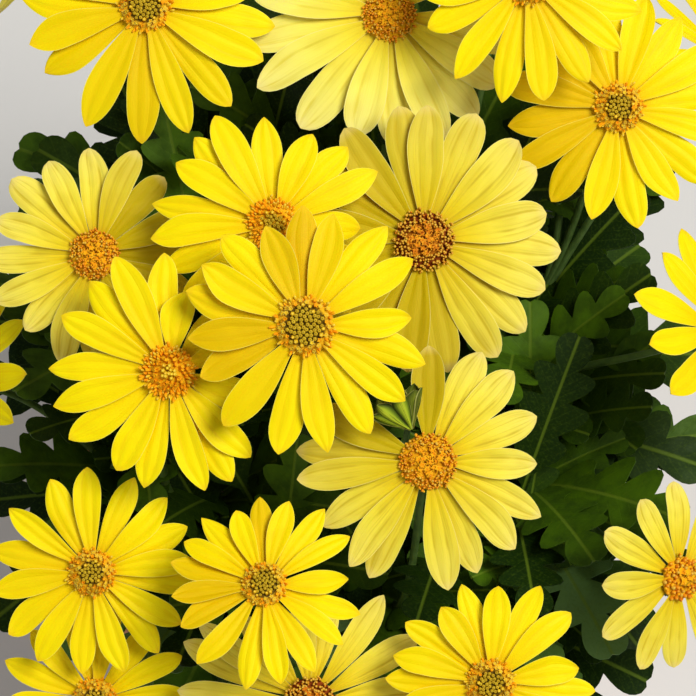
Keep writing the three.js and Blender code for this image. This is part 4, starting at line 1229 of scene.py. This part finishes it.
def add_bud(shape, curve):
    """The bud: an inner and an outer whorl of broad bracts that overlap like a half-closed fan."""
    foot = field_place(*BUD_FOOT)
    tip = field_place(*BUD_TIP)
    axis = (tip - foot).normalized()
    start = curve.at(0.7)
    span = (foot - start).length
    behind = foot - FIELD_OUT * (0.45 * span) + FIELD_ALONG * 0.8 - FIELD_ACROSS * 0.8
    path = Bezier(start, start + curve.way(0.7) * (0.4 * span), behind, foot - FIELD_OUT * 0.5)
    shape.tube(path.rod(FIELD_ACROSS, [0.75] * 17, 10, 0.06, 5), STALKS)
    heart = [(0, 0.1), (0.12, 0.2), (0.3, 0.34), (0.55, 0.42), (0.78, 0.36), (0.9, 0.1)]
    shape.tube(stack(foot, axis, FIELD_ACROSS, (tip - foot).length, BUD_RADIUS, heart, 14), CUPS)
    u = (FIELD_ACROSS - axis * FIELD_ACROSS.dot(axis)).normalized()
    v = axis.cross(u)
    for count, spread, length, turn in [(5, 0.5, 8.4, 0.3), (9, 1.0, 9.3, 0.0)]:
        for i in range(count):
            a = 2 * math.pi * i / count + turn
            out = u * math.cos(a) + v * (BUD_FLATNESS * math.sin(a))
            lean = BUD_SPREAD * spread * out.length
            out.normalize()
            way = (axis * math.cos(lean) + out * math.sin(lean)) * (length + 0.5 * math.sin(2.3 * i))
            places = [foot + out * 0.3 - axis * 0.6]
            places += [foot + way * share + out * 0.9 for share in (0.3, 0.7)]
            places.append(foot + way)
            facing = (u * (0.5 * math.cos(a)) + v * math.sin(a)).normalized()
            add_bract(shape, places, facing, 1.4 + 0.7 * spread, BUDS, 0.5 + 0.45 * math.cos(a))


for index, stem in enumerate(STEMS):
    shape = Shape()
    curves = branch_curves(stem)
    angle = math.radians(stem[0])
    side = polar(1, angle + math.pi / 2)
    foot = polar(stem[2], angle, SOIL_LEVEL - STEM_DEPTH)
    add_stem(shape, curves[0], STEM_FOOT_RADIUS, STEM_TIP_RADIUS, 24, WOOD, side, foot)
    for curve in curves[1:]:
        add_stem(shape, curve, BRANCH_RADIUS, STEM_TIP_RADIUS, 16, WOOD, UP)
    branched = len(curves) > 1
    shoots = shoot_curves(curves, Dice(1300 + index)) if branched else []
    for curve in shoots:
        add_stem(shape, curve, SHOOT_RADIUS, SHOOT_TIP_RADIUS, 10, STALKS, UP)
    leaves = sector_leaves(stem, index, curves) if branched else core_leaves(curves[0])
    leaves += spiral_leaves(curves, BRANCH_SPIRAL, 40 * index, Dice(900 + index))
    leaves += spiral_leaves(shoots, SHOOT_SPIRAL, 0, Dice(1700 + index))
    leaves += fill_leaves(curves, index)
    dice = Dice(70 + index)
    for leaf in leaves:
        add_leaf(shape, leaf, dice)
    used = [0] * len(curves)
    for head in HEADS:
        if head.stem != index:
            continue
        reaches = [(curve.at(1) - head.centre).xy.length for curve in curves]
        branch = reaches.index(min(reaches))
        add_stalk(shape, curves[branch], 0.99 - STALK_SPACING * used[branch], head)
        add_cup(shape, head)
        used[branch] += 1
    if index == BUD_STEM:
        add_bud(shape, curves[0])
    greens = shape.build(f"greens_{index + 1}", [LEAF, UNDER, STALK, BRACT, BARK, BUD_GREEN], 60)
    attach(greens, "root")
    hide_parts(f"leafy_stem_{index + 1}")


def wall_inside(height):
    """Radius of the pot's inner wall at a height."""
    return POT_BASE_RADIUS + (POT_SHOULDER_RADIUS - POT_BASE_RADIUS) * height / POT_HEIGHT - POT_WALL


def soil_height(x, y):
    lumps = math.sin(0.19 * x + 1.3) * math.cos(0.23 * y) + 0.6 * math.sin(0.41 * y - 0.17 * x)
    return SOIL_LEVEL + SOIL_LUMP * lumps


def lathe(profile, sides):
    """A closed round form from a profile of radius and height that starts and ends on the axis."""
    shape = Shape()
    rows = []
    for radius, height in profile[1:-1]:
        row = []
        for i in range(sides):
            a = 2 * math.pi * i / sides
            place = (radius * math.cos(a), radius * math.sin(a), height)
            row.append(shape.point(place, i / sides, height / POT_HEIGHT))
        rows.append(row)
    shape.bands(rows)
    for row, (_, height) in ((rows[0], profile[0]), (rows[-1], profile[-1])):
        middle = shape.point((0, 0, height))
        for i in range(sides):
            shape.face((row[i], row[(i + 1) % sides], middle))
    return shape


def make_pot():
    """The clay pot, with rounded edges and four drain holes cut through its floor."""
    base = POT_BASE_RADIUS
    rim = POT_RIM_RADIUS
    top = POT_HEIGHT
    ledge = POT_HEIGHT - POT_RIM_HEIGHT
    shoulder = wall_inside(ledge) + POT_WALL
    inside = wall_inside(POT_HEIGHT)
    profile = [(0, 0), (base - 8, 0), (base - 2, 0), (base - 0.7, 0.4), (base, 1.6), (base + 0.4, 3.5)]
    profile += [(base + (shoulder - base) * i / 12, ledge * i / 12) for i in range(1, 12)]
    profile += [
        (shoulder - 0.2, ledge - 1.2), (shoulder + 0.1, ledge - 0.2), (shoulder + 1.2, ledge),
        (rim - 1.6, ledge), (rim - 0.5, ledge + 0.5), (rim, ledge + 1.8), (rim, ledge + 9), (rim, ledge + 17),
        (rim, top - 2.2), (rim - 0.6, top - 0.7), (rim - 2, top), (inside + 2.5, top),
        (inside + 0.8, top - 0.4), (inside - 0.1, top - 1.4),
    ]
    for i in range(1, 12):
        height = top - 2 + (POT_FLOOR - top + 2) * i / 11
        profile.append((wall_inside(height), height))
    profile.append((0, POT_FLOOR))
    body = lathe(profile, POT_SIDES).build("pot_body", [CLAY])
    for i in range(DRAIN_HOLES):
        foot = polar(DRAIN_HOLE_CIRCLE, 2 * math.pi * (i + 0.5) / DRAIN_HOLES)
        cut = Shape()
        cut.tube(stack(foot, UP, FIELD_ACROSS, 1, DRAIN_HOLE_RADIUS, [(-3, 1), (POT_FLOOR + 3, 1)], 32))
        cutter = cut.build(f"drain_{i}", [CLAY])
        step = body.modifiers.new("drain", "BOOLEAN")
        step.operation = "DIFFERENCE"
        step.object = cutter
        step.solver = "EXACT"
        graph = bpy.context.evaluated_depsgraph_get()
        mesh = bpy.data.meshes.new_from_object(body.evaluated_get(graph))
        body.modifiers.clear()
        body.data = mesh
        bpy.data.objects.remove(cutter)
    for polygon in body.data.polygons:
        polygon.use_smooth = True
    body.data.set_sharp_from_angle(angle=math.radians(40))
    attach(body, "root")
    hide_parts("pot")


def sideways(dice):
    """A small random shift to the side."""
    return Vector((dice.between(-0.2, 0.2), dice.between(-0.2, 0.2), 0))


def make_soil():
    """The soil plug with a lumpy, crumbly top."""
    shape = Shape()
    dice = Dice(31)
    bottom = POT_FLOOR + SOIL_FIT
    edge = wall_inside(SOIL_LEVEL) - SOIL_FIT
    angles = [2 * math.pi * i / SOIL_SIDES for i in range(SOIL_SIDES)]
    rows = []
    for radius, height in [(wall_inside(bottom) - SOIL_FIT, bottom), (edge, SOIL_LEVEL - 0.6)]:
        rows.append([shape.point(polar(radius, a, height)) for a in angles])
    for r in range(SOIL_RINGS):
        radius = edge * (1 - (r + 0.4) / SOIL_RINGS)
        row = []
        for a in angles:
            x, y = radius * math.cos(a), radius * math.sin(a)
            rough = 0.45 * math.sin(1.7 * x + 2 * math.sin(0.9 * y)) * math.cos(1.9 * y + x * 0.6)
            rough *= smooth(radius / 6)
            row.append(shape.point((x, y, soil_height(x, y) - 0.3 + rough + dice.between(-0.25, 0.25))))
        rows.append(row)
    shape.bands(rows)
    low = shape.point((0, 0, bottom))
    high = shape.point((0, 0, soil_height(0, 0) - 0.3))
    for i in range(SOIL_SIDES):
        j = (i + 1) % SOIL_SIDES
        shape.face((rows[0][j], rows[0][i], low))
        shape.face((rows[-1][i], rows[-1][j], high))
    for _ in range(SOIL_CRUMBS):
        a = dice.between(0, 2 * math.pi)
        radius = (edge - 3) * math.sqrt(dice.share())
        size = 0.5 + 1.5 * dice.share() ** 2.5
        x, y = radius * math.cos(a), radius * math.sin(a)
        middle = Vector((x, y, soil_height(x, y) + 0.25 * size))
        axis = Vector((dice.between(-1, 1), dice.between(-1, 1), dice.between(0.2, 1))).normalized()
        profile = [(-0.8, 0.45), (-0.3, 1.0), (0.35, 0.95), (0.85, 0.4)]
        crumb = stack(middle, axis, FIELD_ACROSS, size, size, profile, 6, 0.2, 2, a)
        shape.tube([[place + sideways(dice) * size for place in places] for places in crumb])
    soil = shape.build("potting_soil", [SOIL])
    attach(soil, "root")
    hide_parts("soil")


make_pot()
make_soil()


# Floor, light and camera
def make_floor():
    paint = Paint("floor", 0.2, 0.9)
    place = paint.place()
    paint.base = paint.mix(paint.noise(place, 3.0, 3.0), (0.76, 0.75, 0.73), (0.80, 0.79, 0.77))
    paint.done(paint.noise(place, 400.0, 2.0), 0.05, 0.0005)
    shape = Shape()
    corners = [(-2500, -2500), (2500, -2500), (2500, 2500), (-2500, 2500)]
    shape.face([shape.point((x, y, -0.3)) for x, y in corners])
    shape.build("floor", [paint.material])


def add_light(name, place, aim, size, power, colour):
    lamp = bpy.data.lights.new(name, "AREA")
    lamp.shape = "DISK"
    lamp.size = size
    lamp.energy = power
    lamp.color = colour
    light = bpy.data.objects.new(name, lamp)
    light.location = place
    light.rotation_euler = (Vector(aim) - Vector(place)).to_track_quat("-Z", "Y").to_euler()
    bpy.context.scene.collection.objects.link(light)


make_floor()
add_light("key", (0.66, -0.12, 1.55), (0, 0, 0.24), 0.7, 21.5, (1.0, 0.985, 0.95))
add_light("fill", (-1.0, -0.7, 0.9), (0, 0, 0.2), 1.2, 3.0, (0.98, 0.98, 0.98))
world = bpy.data.worlds.new("studio")
world.use_nodes = True
world.node_tree.nodes["Background"].inputs["Color"].default_value = (0.98, 0.98, 0.96, 1)
world.node_tree.nodes["Background"].inputs["Strength"].default_value = 0.24
bpy.context.scene.world = world
bpy.context.scene.view_settings.view_transform = "Standard"

# The camera looks at the heads' field from straight out of it.
CAMERA_DISTANCE = 520
lens = bpy.data.cameras.new("camera")
lens.lens = 120
lens.sensor_width = 36
lens.clip_start = 0.01
lens.clip_end = 20
camera = bpy.data.objects.new("camera", lens)
camera.location = (FIELD_CENTRE + FIELD_OUT * CAMERA_DISTANCE) * MM
camera.rotation_euler = (-FIELD_OUT).to_track_quat("-Z", "Y").to_euler()
bpy.context.scene.collection.objects.link(camera)
bpy.context.scene.camera = camera
